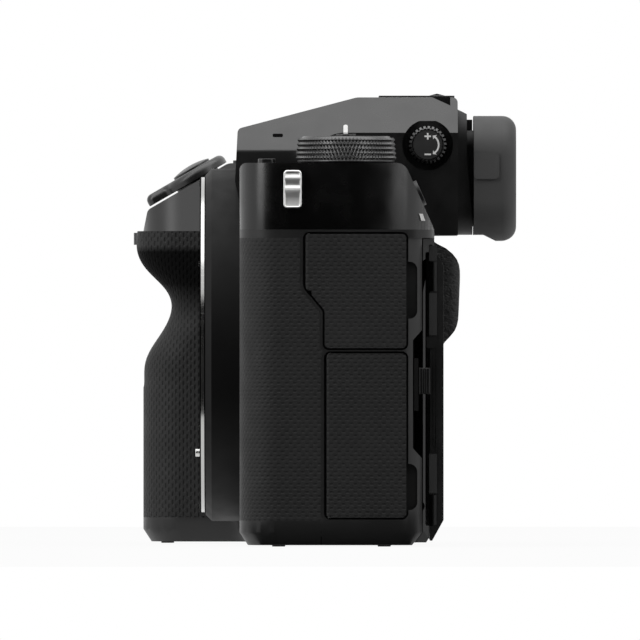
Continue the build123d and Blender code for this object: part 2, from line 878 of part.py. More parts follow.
def hump_form(inset):
    """Viewfinder hump: side profile, front profile and plan in one."""
    base_z = cover_line_z - (cut_over if inset else 0)
    side = [(body_front_y, base_z), (body_front_y, hump_drape_z), (hump_nose_y, hump_nose_z),
            (hump_brow_y, hump_brow_z), (hump_crest_y, hump_top_z), (hump_rear_y, hump_top_z),
            (hump_rear_y, hump_base_z), (hump_overhang_y, hump_base_z), (hump_overhang_y, base_z)]
    if inset:
        side = side[:6] + [(hump_rear_y, base_z)]
        radii = [0, 0, 0, hump_edge_radius, hump_edge_radius * 4, 0, 0]
    else:
        radii = [0, 0, 0, hump_edge_radius, hump_edge_radius * 4, hump_edge_radius, 0, 0, 0]
    body = along_x(outline(side, radii, inset), -hump_half_width, hump_half_width)
    front = [(-hump_half_width, base_z - cut_over), (-hump_half_width, hump_wall_top_z),
             (-hump_flat_half_width, hump_top_z), (hump_flat_half_width, hump_top_z),
             (hump_half_width, hump_wall_top_z), (hump_half_width, base_z - cut_over)]
    front_radii = [0] + [hump_edge_radius] * 4 + [0]
    body &= along_y(outline(front, front_radii, inset), hump_nose_y - cut_over, hump_rear_y + cut_over)
    plan = [(-hump_half_width, hump_nose_y - cut_over), (hump_half_width, hump_nose_y - cut_over),
            (hump_half_width, hump_narrow_front_y), (finder_half_width, hump_narrow_rear_y),
            (finder_half_width, hump_rear_y + cut_over), (-finder_half_width, hump_rear_y + cut_over),
            (-finder_half_width, hump_narrow_rear_y), (-hump_half_width, hump_narrow_front_y)]
    plan_radii = [0, 0, rear_corner_radius, rear_corner_radius, 0, 0, rear_corner_radius,
                  rear_corner_radius]
    return body & along_z(outline(plan, plan_radii, inset), hump_base_z - cut_over, hump_top_z + cut_over)


def cover_forms(inset):
    """Shoulders, grip deck and hump of the top cover."""
    plan = offset(body_plan(strip_rear_y, strip_rear_y - seat_gap), -inset,
                  kind=Kind.INTERSECTION) if inset else body_plan(strip_rear_y, strip_rear_y - seat_gap)
    base_z = cover_line_z - (cut_over if inset else 0)
    tall = along_z(plan, base_z, deck_top_z + cut_over)
    port = along_x(cover_profile([(body_front_y, shoulder_top_z)], shoulder_top_z, inset),
                   -hump_half_width, port_side_x) & tall
    right = along_x(cover_profile([(body_front_y, deck_top_z)], deck_top_z, inset),
                    grip_side_x, -hump_half_width) & tall
    front_y = body_front_y - grip_base_reach
    deck_plan = outline([(grip_side_x, body_front_y + grip_overlap), (grip_side_x, front_y),
                         (grip_inner_x, front_y), (grip_root_x, body_front_y + grip_overlap)],
                        [0, grip_outer_radius, grip_inner_radius, 0], inset)
    profile = outline([(front_y, base_z), (front_y, cover_line_z), (deck_lip_y, deck_lip_z),
                       (deck_break_y, deck_top_z), (body_front_y + grip_overlap, deck_top_z),
                       (body_front_y + grip_overlap, base_z)][(0 if inset else 1):],
                      ([0] if inset else []) + [0, cover_edge_radius, cover_crest_radius, 0, 0], inset)
    deck = along_x(profile, grip_side_x, grip_root_x)
    deck &= along_z(deck_plan, base_z, deck_top_z + cut_over)
    return port + right + deck + hump_form(inset * hump_wall / cover_wall)


release_plane = Plane(origin=(release_x, release_y, deck_lip_z + (release_y - deck_lip_y)
                              * (deck_top_z - deck_lip_z) / (deck_break_y - deck_lip_y)),
                      x_dir=(1, 0, 0), z_dir=(0, deck_lip_z - deck_top_z, deck_break_y - deck_lip_y))
slant_y = cover_crest_y + ((shoulder_top_z - slant_button_z) * (strip_rear_y - cover_crest_y)
                           / (shoulder_top_z - cover_line_z))
slant_normal = (0, shoulder_top_z - cover_line_z, strip_rear_y - cover_crest_y)


def slant_plane(x):
    """Plane on the cover's slanted rear face at one button."""
    return Plane(origin=(x, slant_y, slant_button_z), x_dir=(1, 0, 0), z_dir=slant_normal)


def stem_z(x, y, z0, z1, r, clearance=running_clearance):
    return rod_z(x, y, z0, z1, r + clearance)


def top_cover():
    cover = cover_forms(0) - cover_forms(cover_wall)
    cover -= rod_y(0, lens_axis_z, barrel_front_y - cut_over, body_front_y, barrel_radius + seat_gap)
    cover -= block(-tube_half_width - seat_gap, tube_half_width + seat_gap, hump_rear_y - cut_over * 2,
                   hump_rear_y + cut_over, finder_axis_z - tube_half_height - seat_gap,
                   finder_axis_z + tube_half_height + seat_gap)
    cover -= block(-shoe_half_width, shoe_half_width, shoe_front_y, hump_rear_y + cut_over,
                   shoe_floor_z - shoe_floor_thickness, hump_top_z + cut_over)
    cover += block(-shoe_half_width - cover_wall, shoe_half_width + cover_wall, shoe_front_y,
                   hump_rear_y - hump_edge_radius,
                   shoe_floor_z - shoe_floor_thickness - cover_wall,
                   shoe_floor_z - shoe_floor_thickness)
    cover += block(-ramp_half_width, ramp_half_width, ramp_front_y - cover_wall, hump_rear_y,
                   hump_top_z - ramp_drop - cover_wall, hump_top_z) & (
        hump_form(0) - block(-shoe_half_width, shoe_half_width, shoe_front_y, hump_rear_y + cut_over,
                             shoe_floor_z - shoe_floor_thickness, hump_top_z + cut_over))
    ramp = outline([(ramp_front_y, hump_top_z + cut_over), (ramp_front_y, hump_top_z),
                    (ramp_rear_y, hump_top_z - ramp_drop), (ramp_rear_y, hump_top_z + cut_over)])
    cover -= along_x(ramp, shoe_half_width + cover_wall / 2, ramp_half_width + cut_over)
    cover -= along_x(ramp, -ramp_half_width - cut_over, -shoe_half_width - cover_wall / 2)
    cover += rod_x(diopter_y, diopter_z, diopter_inner_x - casing_wall * 2, diopter_inner_x,
                   diopter_pocket_radius + casing_wall) & hump_form(0)
    cover -= rod_x(diopter_y, diopter_z, diopter_inner_x - seat_gap, hump_half_width + cut_over,
                   diopter_pocket_radius)
    cover -= rod_x(diopter_y, diopter_z, diopter_inner_x - casing_wall * 2 - cut_over,
                   diopter_inner_x, diopter_stem_radius + running_clearance)
    cover -= stem_z(mode_x, mode_y, shoulder_top_z - cut_over, mode_top_z, mode_stem_radius)
    cover += rod_z(still_x, still_y, shoulder_top_z - still_thickness - cover_wall - seat_gap,
                   shoulder_top_z - still_thickness - seat_gap, still_radius + cover_wall)
    cover -= stem_z(still_x, still_y, shoulder_top_z - still_thickness - seat_gap,
                    shoulder_top_z + cut_over, still_radius)
    cover -= stem_z(still_x, still_y, shoulder_top_z - still_thickness - cut_over * 2,
                    shoulder_top_z, still_stem_radius)
    cover += rod_z(rear_dial_x, rear_dial_y, rear_dial_top_z + seat_gap, deck_top_z - cover_wall,
                   dial_boss_radius)
    cover -= rod_z(rear_dial_x, rear_dial_y, rear_dial_base_z - slide_gap,
                   rear_dial_top_z + seat_gap, rear_dial_radius + dial_pocket_gap)
    cover += rod_z(rear_dial_x, rear_dial_y, rear_dial_base_z, rear_dial_top_z + seat_gap,
                   dial_post_radius)
    cover -= release_plane * Cylinder(ring_stem_radius + running_clearance, ring_stem_depth * 4)
    cover -= stem_z(exposure_x, exposure_y, deck_top_z - cut_over, deck_top_z + cut_over,
                    small_button_radius)
    for x in (playback_x, delete_x):
        cover -= slant_plane(x) * Cylinder(rear_button_radius + running_clearance, cut_over * 2)
    cover -= along_z(window_face(running_clearance), deck_top_z - window_depth, deck_top_z + cut_over)
    for side_x, sign in ((port_side_x, 1), (grip_side_x, -1)):
        cover += lug_backing(side_x, sign)
        cover -= lug_pocket(side_x, sign)
    return cover


def window_face(grow=0):
    return rounded_box(window_left_x - grow, window_right_x + grow, window_front_y - grow,
                       window_rear_y + grow, window_corner_radius)


def sub_display_window():
    return along_z(window_face(), deck_top_z - window_depth, deck_top_z + window_rise)


def lug_pocket(side_x, sign):
    """Hollow behind a strap lug's bow."""
    inner_x = side_x - sign * lug_pocket_depth
    outer_x = side_x + sign * cut_over
    return block(min(inner_x, outer_x), max(inner_x, outer_x), lug_y - lug_width / 2 - lug_pocket_margin,
                 lug_y + lug_width / 2 + lug_pocket_margin, lug_base_z, lug_top_z)


def lug_backing(side_x, sign):
    """Wall of the cover round a lug's hollow."""
    inner_x = side_x - sign * (lug_pocket_depth + cover_wall)
    outer_x = side_x - sign * skin_thickness
    return block(min(inner_x, outer_x), max(inner_x, outer_x),
                 lug_y - lug_width / 2 - lug_pocket_margin - cover_wall,
                 lug_y + lug_width / 2 + lug_pocket_margin + cover_wall,
                 lug_base_z - cover_wall, lug_top_z)


def strap_lug(side_x, sign):
    """Bowed metal bar over the hollow, its feet on the hollow's floor."""
    floor_x = side_x - sign * lug_pocket_depth
    peak_x = side_x + sign * lug_reach
    bow_x = side_x + sign * (lug_reach - lug_bar)
    outer = [(floor_x, lug_base_z), (side_x, lug_base_z), (peak_x, lug_base_z + lug_foot),
             (peak_x, lug_top_z - lug_foot), (side_x, lug_top_z), (floor_x, lug_top_z)]
    inner = [(floor_x - sign * cut_over, lug_base_z + lug_foot), (bow_x, lug_base_z + lug_foot),
             (bow_x, lug_top_z - lug_foot), (floor_x - sign * cut_over, lug_top_z - lug_foot)]
    bow = outline(outer, [0, lug_foot, lug_foot, lug_foot, lug_foot, 0])
    bow -= outline(inner, [0, lug_foot / 2, lug_foot / 2, 0])
    return along_y(bow, lug_y - lug_width / 2, lug_y + lug_width / 2)


# Finder

def viewfinder_unit():
    """Tube inside the hump with the eyepiece frame at its rear end."""
    tube = block(-tube_half_width, tube_half_width, tube_front_y, hump_rear_y,
                 finder_axis_z - tube_half_height, finder_axis_z + tube_half_height)
    flare = [(hump_rear_y, frame_base_z), (hump_rear_y, frame_top_z),
             (frame_neck_y, frame_top_z - frame_brow_drop),
             (frame_neck_y, finder_axis_z + tube_half_height / 2),
             (frame_rear_y, finder_axis_z - tube_half_height), (frame_rear_y, frame_base_z)]
    frame = along_x(outline(flare), -frame_half_width, frame_half_width)
    frame &= along_y(rounded_box(-frame_half_width, frame_half_width, frame_base_z, frame_top_z,
                                 frame_corner_radius), hump_rear_y, frame_rear_y + cut_over)
    neck = along_y(rounded_box(-eyepiece_half_width - tube_wall, eyepiece_half_width + tube_wall,
                               finder_axis_z - eyepiece_half_height - tube_wall,
                               finder_axis_z + eyepiece_half_height + tube_wall, eyecup_throat_radius),
                   hump_rear_y, eyecup_front_y)
    rib = block(-neck_rib_half_width, neck_rib_half_width, hump_rear_y, frame_rear_y,
                finder_axis_z, neck_rib_top_z)
    unit = tube + frame + neck + rib
    unit -= block(-eyepiece_half_width, eyepiece_half_width, tube_front_y + display_thickness,
                  eyecup_front_y + cut_over, finder_axis_z - eyepiece_half_height + tube_wall,
                  finder_axis_z + eyepiece_half_height - tube_wall)
    unit -= block(-eyepiece_half_width, eyepiece_half_width, hump_rear_y - eyepiece_thickness / 2,
                  eyecup_front_y + cut_over, finder_axis_z - eyepiece_half_height,
                  finder_axis_z + eyepiece_half_height)
    return unit - block(-tube_half_width + tube_wall, tube_half_width - tube_wall,
                        tube_front_y - cut_over, tube_front_y + display_thickness,
                        finder_axis_z - eyepiece_half_height + tube_wall,
                        finder_axis_z + eyepiece_half_height - tube_wall)


def viewfinder_display():
    return block(-tube_half_width + tube_wall, tube_half_width - tube_wall, tube_front_y,
                 tube_front_y + display_thickness, finder_axis_z - eyepiece_half_height + tube_wall,
                 finder_axis_z + eyepiece_half_height - tube_wall)


def eyepiece_lens():
    """Eyepiece glass with a domed rear face."""
    y0 = hump_rear_y - eyepiece_thickness / 2
    slab = along_y(rounded_box(-eyepiece_half_width, eyepiece_half_width,
                               finder_axis_z - eyepiece_half_height,
                               finder_axis_z + eyepiece_half_height, tube_wall),
                   y0, y0 + eyepiece_thickness)
    dome_radius = eyepiece_half_width * 4
    return slab & Pos(0, y0 + eyepiece_thickness - dome_radius, finder_axis_z) * Sphere(dome_radius)


def eyecup():
    """Soft cup with a tapering well, rounded towards the eye."""
    cup = along_y(rounded_box(-eyecup_half_width, eyecup_half_width, eyecup_base_z, eyecup_top_z,
                              eyecup_corner_radius), eyecup_front_y, eyecup_rear_y)
    cup = fillet(cup.faces().sort_by(Axis.Y)[-1].outer_wire().edges(), eyecup_edge_radius)
    mid_z = (eyecup_base_z + eyecup_top_z) / 2
    throat = Plane.XZ.offset(-eyecup_front_y + seat_gap) * Pos(0, mid_z) * RectangleRounded(
        eyecup_throat_half_width * 2, eyecup_throat_half_height * 2, eyecup_throat_radius)
    mouth = Plane.XZ.offset(-eyecup_rear_y - seat_gap) * Pos(0, mid_z) * RectangleRounded(
        eyecup_well_half_width * 2, eyecup_well_half_height * 2, eyecup_throat_radius)
    lip = outline([(eyecup_front_y - cut_over, eyecup_lip_z), (eyecup_lip_y, eyecup_lip_z),
                   (eyecup_bulge_y, eyecup_base_z), (eyecup_bulge_y, eyecup_base_z - cut_over),
                   (eyecup_front_y - cut_over, eyecup_base_z - cut_over)])
    cup -= along_x(lip, -eyecup_half_width, eyecup_half_width)
    tab = rounded_box(eyecup_front_y, eyecup_tab_rear_y, eyecup_tab_base_z, eyecup_tab_top_z,
                      eyecup_tab_radius)
    half = eyecup_half_width + eyecup_tab_rise
    cup += along_x(tab, eyecup_half_width - eyecup_tab_rise, half)
    cup += along_x(tab, -half, -eyecup_half_width + eyecup_tab_rise)
    return cup - loft([throat, mouth])


def diopter_dial():
    face = toothed_disc(diopter_radius, diopter_outer_x - diopter_inner_x, diopter_notches,
                        diopter_notch_depth)
    face += Pos(0, 0, -casing_wall) * Cylinder(diopter_stem_radius, casing_wall * 2)
    return Pos(diopter_inner_x, diopter_y, diopter_z) * Rot(0, 90, 0) * face


shoe_floor_z = shoe_top_z - shoe_rail_thickness - shoe_slot_height


def hot_shoe():
    """Metal shoe: floor, side walls and inward rails."""
    shoe = block(-shoe_half_width, shoe_half_width, shoe_front_y, shoe_rear_y,
                 shoe_floor_z - shoe_floor_thickness, shoe_top_z)
    shoe -= block(-shoe_slot_half_width, shoe_slot_half_width, shoe_front_y + shoe_stop_length,
                  shoe_rear_y + cut_over, shoe_floor_z, shoe_floor_z + shoe_slot_height)
    return shoe - block(-shoe_gap_half_width, shoe_gap_half_width, shoe_front_y + shoe_stop_length,
                        shoe_rear_y + cut_over, shoe_floor_z, shoe_top_z + cut_over)


def hot_shoe_cover():
    """Plastic cover that slides under the rails, with a grip ridge."""
    front_y = shoe_front_y + shoe_stop_length + slide_gap
    tongue = block(-shoe_slot_half_width + slide_gap, shoe_slot_half_width - slide_gap, front_y,
                   shoe_cover_rear_y, shoe_floor_z + slide_gap,
                   shoe_floor_z + shoe_slot_height - slide_gap)
    half = shoe_gap_half_width - slide_gap
    tongue += block(-half, half, front_y, shoe_cover_rear_y, shoe_floor_z + slide_gap, shoe_top_z)
    ridge_face = outline([(shoe_ridge_y - shoe_ridge_length / 2, shoe_top_z),
                          (shoe_ridge_y, shoe_ridge_z), (shoe_ridge_y + shoe_ridge_length / 2, shoe_top_z)])
    return tongue + along_x(ridge_face, -half, half)


# Controls

def mode_dial():
    """Fluted dial on a stem, bored for its lock."""
    dial = Pos(mode_x, mode_y, mode_base_z) * toothed_disc(mode_base_radius, mode_top_z - mode_base_z,
                                                           mode_flutes, mode_flute_depth)
    wall = rod_z(mode_x, mode_y, mode_base_z, mode_rim_z, mode_base_radius + mode_flute_depth)
    wall += Pos(mode_x, mode_y, (mode_rim_z + mode_top_z) / 2) * Cone(
        mode_base_radius + mode_flute_depth, mode_top_radius, mode_top_z - mode_rim_z)
    dial &= wall
    dial += rod_z(mode_x, mode_y, shoulder_top_z - cover_wall, mode_base_z, mode_stem_radius)
    dial -= stem_z(mode_x, mode_y, mode_top_z - lock_depth, mode_top_z + cut_over, lock_radius)
    return dial


def mode_dial_lock():
    return rod_z(mode_x, mode_y, mode_top_z - lock_depth + button_travel, mode_top_z + lock_rise,
                 lock_radius)


def still_movie_lever():
    """Flush disc with a raised fin, turned by the finger."""
    base_z = shoulder_top_z - still_thickness
    disc = rod_z(still_x, still_y, base_z, shoulder_top_z, still_radius)
    fin = along_z(rounded_box(still_x - still_fin_half_width, still_x + still_fin_half_width,
                              still_fin_front_y, still_fin_rear_y, still_thickness),
                  shoulder_top_z - still_thickness / 2, still_fin_z)
    stem = rod_z(still_x, still_y, base_z - cover_wall, base_z, still_stem_radius)
    return disc + (fin & rod_z(still_x, still_y, base_z, still_fin_z, still_radius)) + stem


def command_dial(x, y, r, z0, z1):
    """Toothed wheel on a post."""
    wheel = Pos(x, y, z0) * toothed_disc(r, z1 - z0, dial_teeth, dial_tooth_depth)
    return wheel - rod_z(x, y, z0 - cut_over, z1 + cut_over, dial_post_radius + running_clearance)


def power_lever():
    """Ring round the release with a rounded lever towards the front."""
    flat = Circle(ring_radius)
    flat += Pos(0, -lever_reach / 2) * Rectangle(lever_half_width * 2, lever_reach)
    tip = flat.vertices().filter_by(lambda v: abs(v.X) > lever_half_width / 2 and v.Y < -ring_radius / 2)
    flat = fillet(tip, lever_corner_radius)
    ring = Pos(0, 0, ring_rise) * extrude(flat, amount=ring_thickness)
    ring = fillet(ring.faces().sort_by(Axis.Z)[-1].edges(), ring_edge_radius)
    ring += Pos(0, 0, ring_rise - ring_stem_depth / 2) * Cylinder(ring_stem_radius, ring_stem_depth)
    return release_plane * (ring - Cylinder(button_radius + running_clearance, ring_radius * 2))


def shutter_button():
    """Domed release button inside the power ring."""
    top = ring_rise + ring_thickness + button_rise
    stem = top + ring_stem_depth
    button = Pos(0, 0, top - stem / 2) * Cylinder(button_radius, stem)
    dome_radius = (button_radius ** 2 + button_dome ** 2) / (2 * button_dome)
    return release_plane * (button & Pos(0, 0, top - dome_radius) * Sphere(dome_radius))


def exposure_button():
    return rod_z(exposure_x, exposure_y, deck_top_z - cover_wall, deck_top_z + small_button_rise,
                 small_button_radius)


def front_button(x, z, r, rise, depth, travel):
    """Round button on the front wall, with room behind it to be pressed."""
    return rod_y(x, z, body_front_y - rise, body_front_y + depth - travel, r)


def rear_button(x, z, r, rise):
    """Round button on the rear block."""
    return rod_y(x, z, right_rear_y - rear_pocket_depth + button_travel, right_rear_y + rise, r)


def slant_button(x):
    """Button on the slanted rear face of the port shoulder."""
    height = cover_wall + rear_button_rise
    return slant_plane(x) * Pos(0, 0, rear_button_rise - height / 2) * Cylinder(rear_button_radius, height)


def focus_mode_lever():
    """Small lever disc with a finger tip at its edge."""
    base_y = right_rear_y - rear_pocket_depth + seat_gap
    disc = rod_y(focus_lever_x, focus_lever_z, base_y, right_rear_y + slide_gap, focus_lever_radius)
    tip_y = right_rear_y + slide_gap
    arm = along_y(rounded_box(focus_lever_x - focus_lever_radius / 2,
                              focus_lever_x + focus_lever_radius / 2,
                              focus_lever_z - focus_lever_arm, focus_lever_z,
                              focus_lever_radius / 3), tip_y, tip_y + rear_button_rise)
    return disc + arm


def focus_stick():
    """Thumb stick: cap on a stem over a ball."""
    floor_y = right_rear_y - rear_pocket_depth
    cap = rod_y(stick_x, stick_z, right_rear_y, right_rear_y + rear_button_rise * 2, stick_radius)
    ball_y = floor_y + stick_ball_radius + seat_gap
    stem = rod_y(stick_x, stick_z, ball_y, right_rear_y, stick_stem_radius)
    ball = Pos(stick_x, ball_y, stick_z) * Sphere(stick_ball_radius)
    return cap + (stem + ball - rod_y(stick_x, stick_z, right_rear_y, ball_y + cut_over * 2, stick_radius))


def menu_ok_button():
    """Four-way ring with the confirming button in its middle, one rocker."""
    y0 = right_rear_y - rear_pocket_depth + button_travel
    ring = rod_y(menu_x, menu_z, y0, right_rear_y + menu_rise, menu_ring_radius)
    groove = rod_y(menu_x, menu_z, right_rear_y + menu_rise / 2, right_rear_y + cut_over,
                   menu_ring_inner + slide_gap * 2)
    return ring - (groove - rod_y(menu_x, menu_z, y0, right_rear_y + cut_over, menu_ring_inner))


def thumb_rest():
    """Rubber hook for the thumb, its profile swelling below the cover."""
    points = [(right_rear_y, thumb_top_z)]
    for height_share, reach_share in zip(thumb_height_shares, thumb_reach_shares):
        points.append((right_rear_y + thumb_reach * reach_share, thumb_top_z - thumb_height * height_share))
    points.append((right_rear_y, thumb_top_z - thumb_height))
    rest = along_x(outline(points), thumb_left_x, thumb_right_x)
    plan = outline([(thumb_left_x, right_rear_y), (thumb_right_x, right_rear_y),
                    (thumb_right_x, right_rear_y + thumb_reach),
                    (thumb_left_x, right_rear_y + thumb_reach)],
                   [0, 0, thumb_edge_radius, thumb_edge_radius * 2])
    rest &= along_z(plan, thumb_top_z - thumb_height, thumb_top_z)
    return rest


# Port side

def port_door(points, barrel_base_z, barrel_top_z):
    """Flap with a rounded hinge edge, bored for its pins."""
    front_y = points[0][0]
    x0 = port_side_x - door_thickness
    r = door_hinge_radius
    axis_x = port_side_x - r
    axis_y = front_y + r
    leaf = along_x(door_face(points), x0, port_side_x)
    edge = leaf & rod_z(axis_x, axis_y, barrel_base_z, barrel_top_z, r)
    leaf -= block(x0 - cut_over, port_side_x + cut_over, front_y - cut_over, axis_y,
                  barrel_base_z, barrel_top_z)
    leaf -= block(x0 - cut_over, port_side_x + cut_over, front_y - cut_over, axis_y + r,
                  barrel_base_z - door_swing_relief, barrel_base_z)
    return leaf + edge - rod_z(axis_x, axis_y, barrel_base_z - cut_over, barrel_top_z + cut_over,
                               door_pin_radius + running_clearance)


def upper_port_door():
    return port_door(upper_door_points, upper_hinge_base_z, door_top_z)


def lower_port_door():
    return port_door(lower_door_points, lower_door_base_z, lower_door_top_z)


def door_pins():
    """Hinge pins of the two port doors, held by the casing."""
    pins = []
    axis_x = port_side_x - door_hinge_radius
    for points, base_z, top_z in [(upper_door_points, upper_hinge_base_z, door_top_z),
                                  (lower_door_points, lower_door_base_z, lower_door_top_z)]:
        axis_y = points[0][0] + door_hinge_radius
        pins.append(rod_z(axis_x, axis_y, top_z - hinge_pin_inset, top_z + door_gap / 2,
                          door_pin_radius))
        if points is lower_door_points:
            pins.append(rod_z(axis_x, axis_y, base_z - door_gap / 2, base_z + hinge_pin_inset,
                              door_pin_radius))
    return pins


def port_panel():
    """Panel of sockets behind the doors, one slab to each door."""
    panels = []
    for points in all_doors:
        face = door_face(points, -door_ledge - running_clearance)
        slab = along_x(face, port_pocket_x, port_pocket_x + port_panel_thickness)
        face_x = port_pocket_x + port_panel_thickness
        front_y = points[0][0]
        mid_y = (upper_door_step_y + door_rear_y) / 2
        base_z = points[2][1]
        height = points[0][1] - base_z
        for share in ((0.25, 0.72) if points is upper_door_points else (0.2, 0.5, 0.8)):
            socket = along_x(rounded_box(mid_y - socket_reach * 2, mid_y + socket_reach * 2,
                                         base_z + height * share - socket_reach,
                                         base_z + height * share + socket_reach, socket_reach / 3),
                             face_x, face_x + socket_reach)
            hollow = along_x(rounded_box(mid_y - socket_reach * 3 / 2, mid_y + socket_reach * 3 / 2,
                                         base_z + height * share - socket_reach / 2,
                                         base_z + height * share + socket_reach / 2,
                                         socket_reach / 3), face_x, face_x + socket_reach + cut_over)
            slab += socket
            slab -= hollow
        panels.append(slab)
    return panels


# Underside

def plate_face(grow=0):
    return rounded_box(plate_left_x - grow, plate_right_x + grow, plate_front_y - grow,
                       plate_rear_y + grow, plate_corner_radius)


def base_plate():
    plate = along_z(plate_face(), body_base_z, plate_top_z)
    return plate - rod_z(0, 0, -cut_over, plate_top_z + cut_over, socket_body_radius)


def tripod_socket():
    """Threaded steel bush with its pad at the standing plane."""
    height = socket_bore_depth + socket_cap
    bush = rod_z(0, 0, 0, plate_top_z, socket_radius) + rod_z(0, 0, body_base_z, height,
                                                              socket_body_radius)
    return bush - rod_z(0, 0, -cut_over, socket_bore_depth, socket_bore_radius)


def rubber_feet():
    feet = [rod_z(grip_foot_x, grip_foot_y, 0, body_base_z, foot_radius)]
    for x in (-foot_x * 5 / 6, foot_x):
        for y in (foot_front_y, foot_rear_y):
            feet.append(rod_z(x, y, 0, body_base_z, foot_radius))
    return feet


def battery_space(grow):
    return block(battery_left_x - grow, battery_left_x + battery_width + grow, battery_front_y - grow,
                 battery_front_y + battery_depth + grow, body_base_z - cut_over,
                 battery_base_z + battery_height + grow)


def battery():
    cell = block(battery_left_x, battery_left_x + battery_width, battery_front_y,
                 battery_front_y + battery_depth, battery_base_z, battery_base_z + battery_height)
    return fillet(cell.edges().filter_by(Axis.Z), battery_edge_radius)


door_x0 = battery_left_x - battery_door_margin
door_x1 = battery_left_x + battery_width + battery_door_margin
door_y0 = battery_front_y - battery_door_margin
door_y1 = battery_front_y + battery_depth + battery_door_margin
battery_hinge_x = door_x1 - battery_hinge_radius
battery_hinge_z = body_base_z + battery_hinge_radius


def battery_door_space():
    """Seat of the battery door in the underside."""
    return block(door_x0 - slide_gap, door_x1 + slide_gap, door_y0 - slide_gap, door_y1 + slide_gap,
                 body_base_z - cut_over, body_base_z + battery_door_thickness + slide_gap)


def latch_space(grow):
    mid_y = (door_y0 + door_y1) / 2
    return (door_x0 + battery_door_margin * 2, mid_y - latch_width / 2 - grow,
            mid_y + latch_width / 2 + grow)


def battery_door():
    """Door hinged on its inner long side, with a rounded hinge edge."""
    r = battery_hinge_radius
    top_z = body_base_z + battery_door_thickness
    door = block(door_x0, door_x1 - r, door_y0, door_y1, body_base_z, top_z)
    door += rod_y(battery_hinge_x, battery_hinge_z, door_y0, door_y1, r)
    door -= rod_y(battery_hinge_x, battery_hinge_z, door_y0 - cut_over, door_y1 + cut_over,
                  hinge_pin_radius + running_clearance)
    x0, y0, y1 = latch_space(slide_gap)
    return door - block(x0 - slide_gap, x0 + latch_length + latch_travel + slide_gap, y0, y1,
                        body_base_z - cut_over, body_base_z + latch_thickness)


def battery_latch():
    """Sliding latch in the door's outer face."""
    x0, y0, y1 = latch_space(0)
    return block(x0, x0 + latch_length, y0, y1, body_base_z, body_base_z + latch_thickness - slide_gap)


def battery_pins():
    pins = []
    for y0, y1 in ((door_y0 - slide_gap, door_y0 + hinge_pin_inset),
                   (door_y1 - hinge_pin_inset, door_y1 + slide_gap)):
        pins.append(rod_y(battery_hinge_x, battery_hinge_z, y0, y1, hinge_pin_radius))
    return pins


def card_door_form(grow):
    """Door over the card slots, bent round the rear corner of the grip side."""
    z0 = card_base_z - card_door_margin - grow
    z1 = card_top_z + card_door_margin + grow
    zone = block(grip_side_x - cut_over, grip_side_x + card_door_reach, card_door_front_y - grow,
                 card_door_rear_y + grow, z0, z1)
    return zone - inner_block(card_door_thickness + grow, z0, z1)


def inner_block(inset, z0, z1):
    """Body block drawn in by inset, between two heights."""
    plan = body_plan(port_rear_y, right_rear_y)
    return along_z(offset(plan, -inset, kind=Kind.INTERSECTION) if inset else plan, z0, z1)


def card_door():
    r = card_door_thickness / 2
    door = card_door_form(0) & inner_block(0, card_base_z - card_door_margin,
                                           card_top_z + card_door_margin)
    z0 = card_base_z - card_door_margin
    z1 = card_top_z + card_door_margin
    door -= block(grip_side_x - cut_over, grip_side_x + cut_over, card_door_front_y - cut_over,
                  card_door_front_y + r, z0, z1)
    return door + rod_z(grip_side_x + r, card_door_front_y + r, z0, z1, r)


def card_slot_unit():
    """Double slot for memory cards."""
    x0 = grip_side_x + card_door_thickness + slide_gap * 2
    unit = block(x0, card_inner_x, card_front_y, card_rear_y, card_base_z, card_top_z)
    unit &= inner_block(card_door_thickness + slide_gap * 2, card_base_z, card_top_z)
    mid_z = (card_base_z + card_top_z) / 2
    pitch = (card_rear_y - card_front_y) / 4
    for y in (card_front_y + pitch, card_rear_y - pitch):
        unit -= block(x0 - cut_over, x0 + card_slot_depth, y - card_slot_width / 2,
                      y + card_slot_width / 2, mid_z - card_slot_height / 2, mid_z + card_slot_height / 2)
    return unit


# Monitor linkage

def swing_lugs():
    return [(swing_base_z - swing_lug_height, swing_base_z - slide_gap),
            (swing_top_z + slide_gap, swing_top_z + swing_lug_height)]


def swing_lug(z0, z1):
    """Ear of the casing that holds the swing pin."""
    r = swing_barrel_radius
    ear = block(swing_axis_x - r, swing_axis_x + r, recess_floor_y - casing_wall / 2, swing_axis_y, z0, z1)
    ear += rod_z(swing_axis_x, swing_axis_y, z0, z1, r)
    return ear - rod_z(swing_axis_x, swing_axis_y, z0 - cut_over, z1 + cut_over, swing_pin_radius)


def swing_pin():
    return rod_z(swing_axis_x, swing_axis_y, swing_lugs()[0][0], swing_lugs()[1][1], swing_pin_radius)


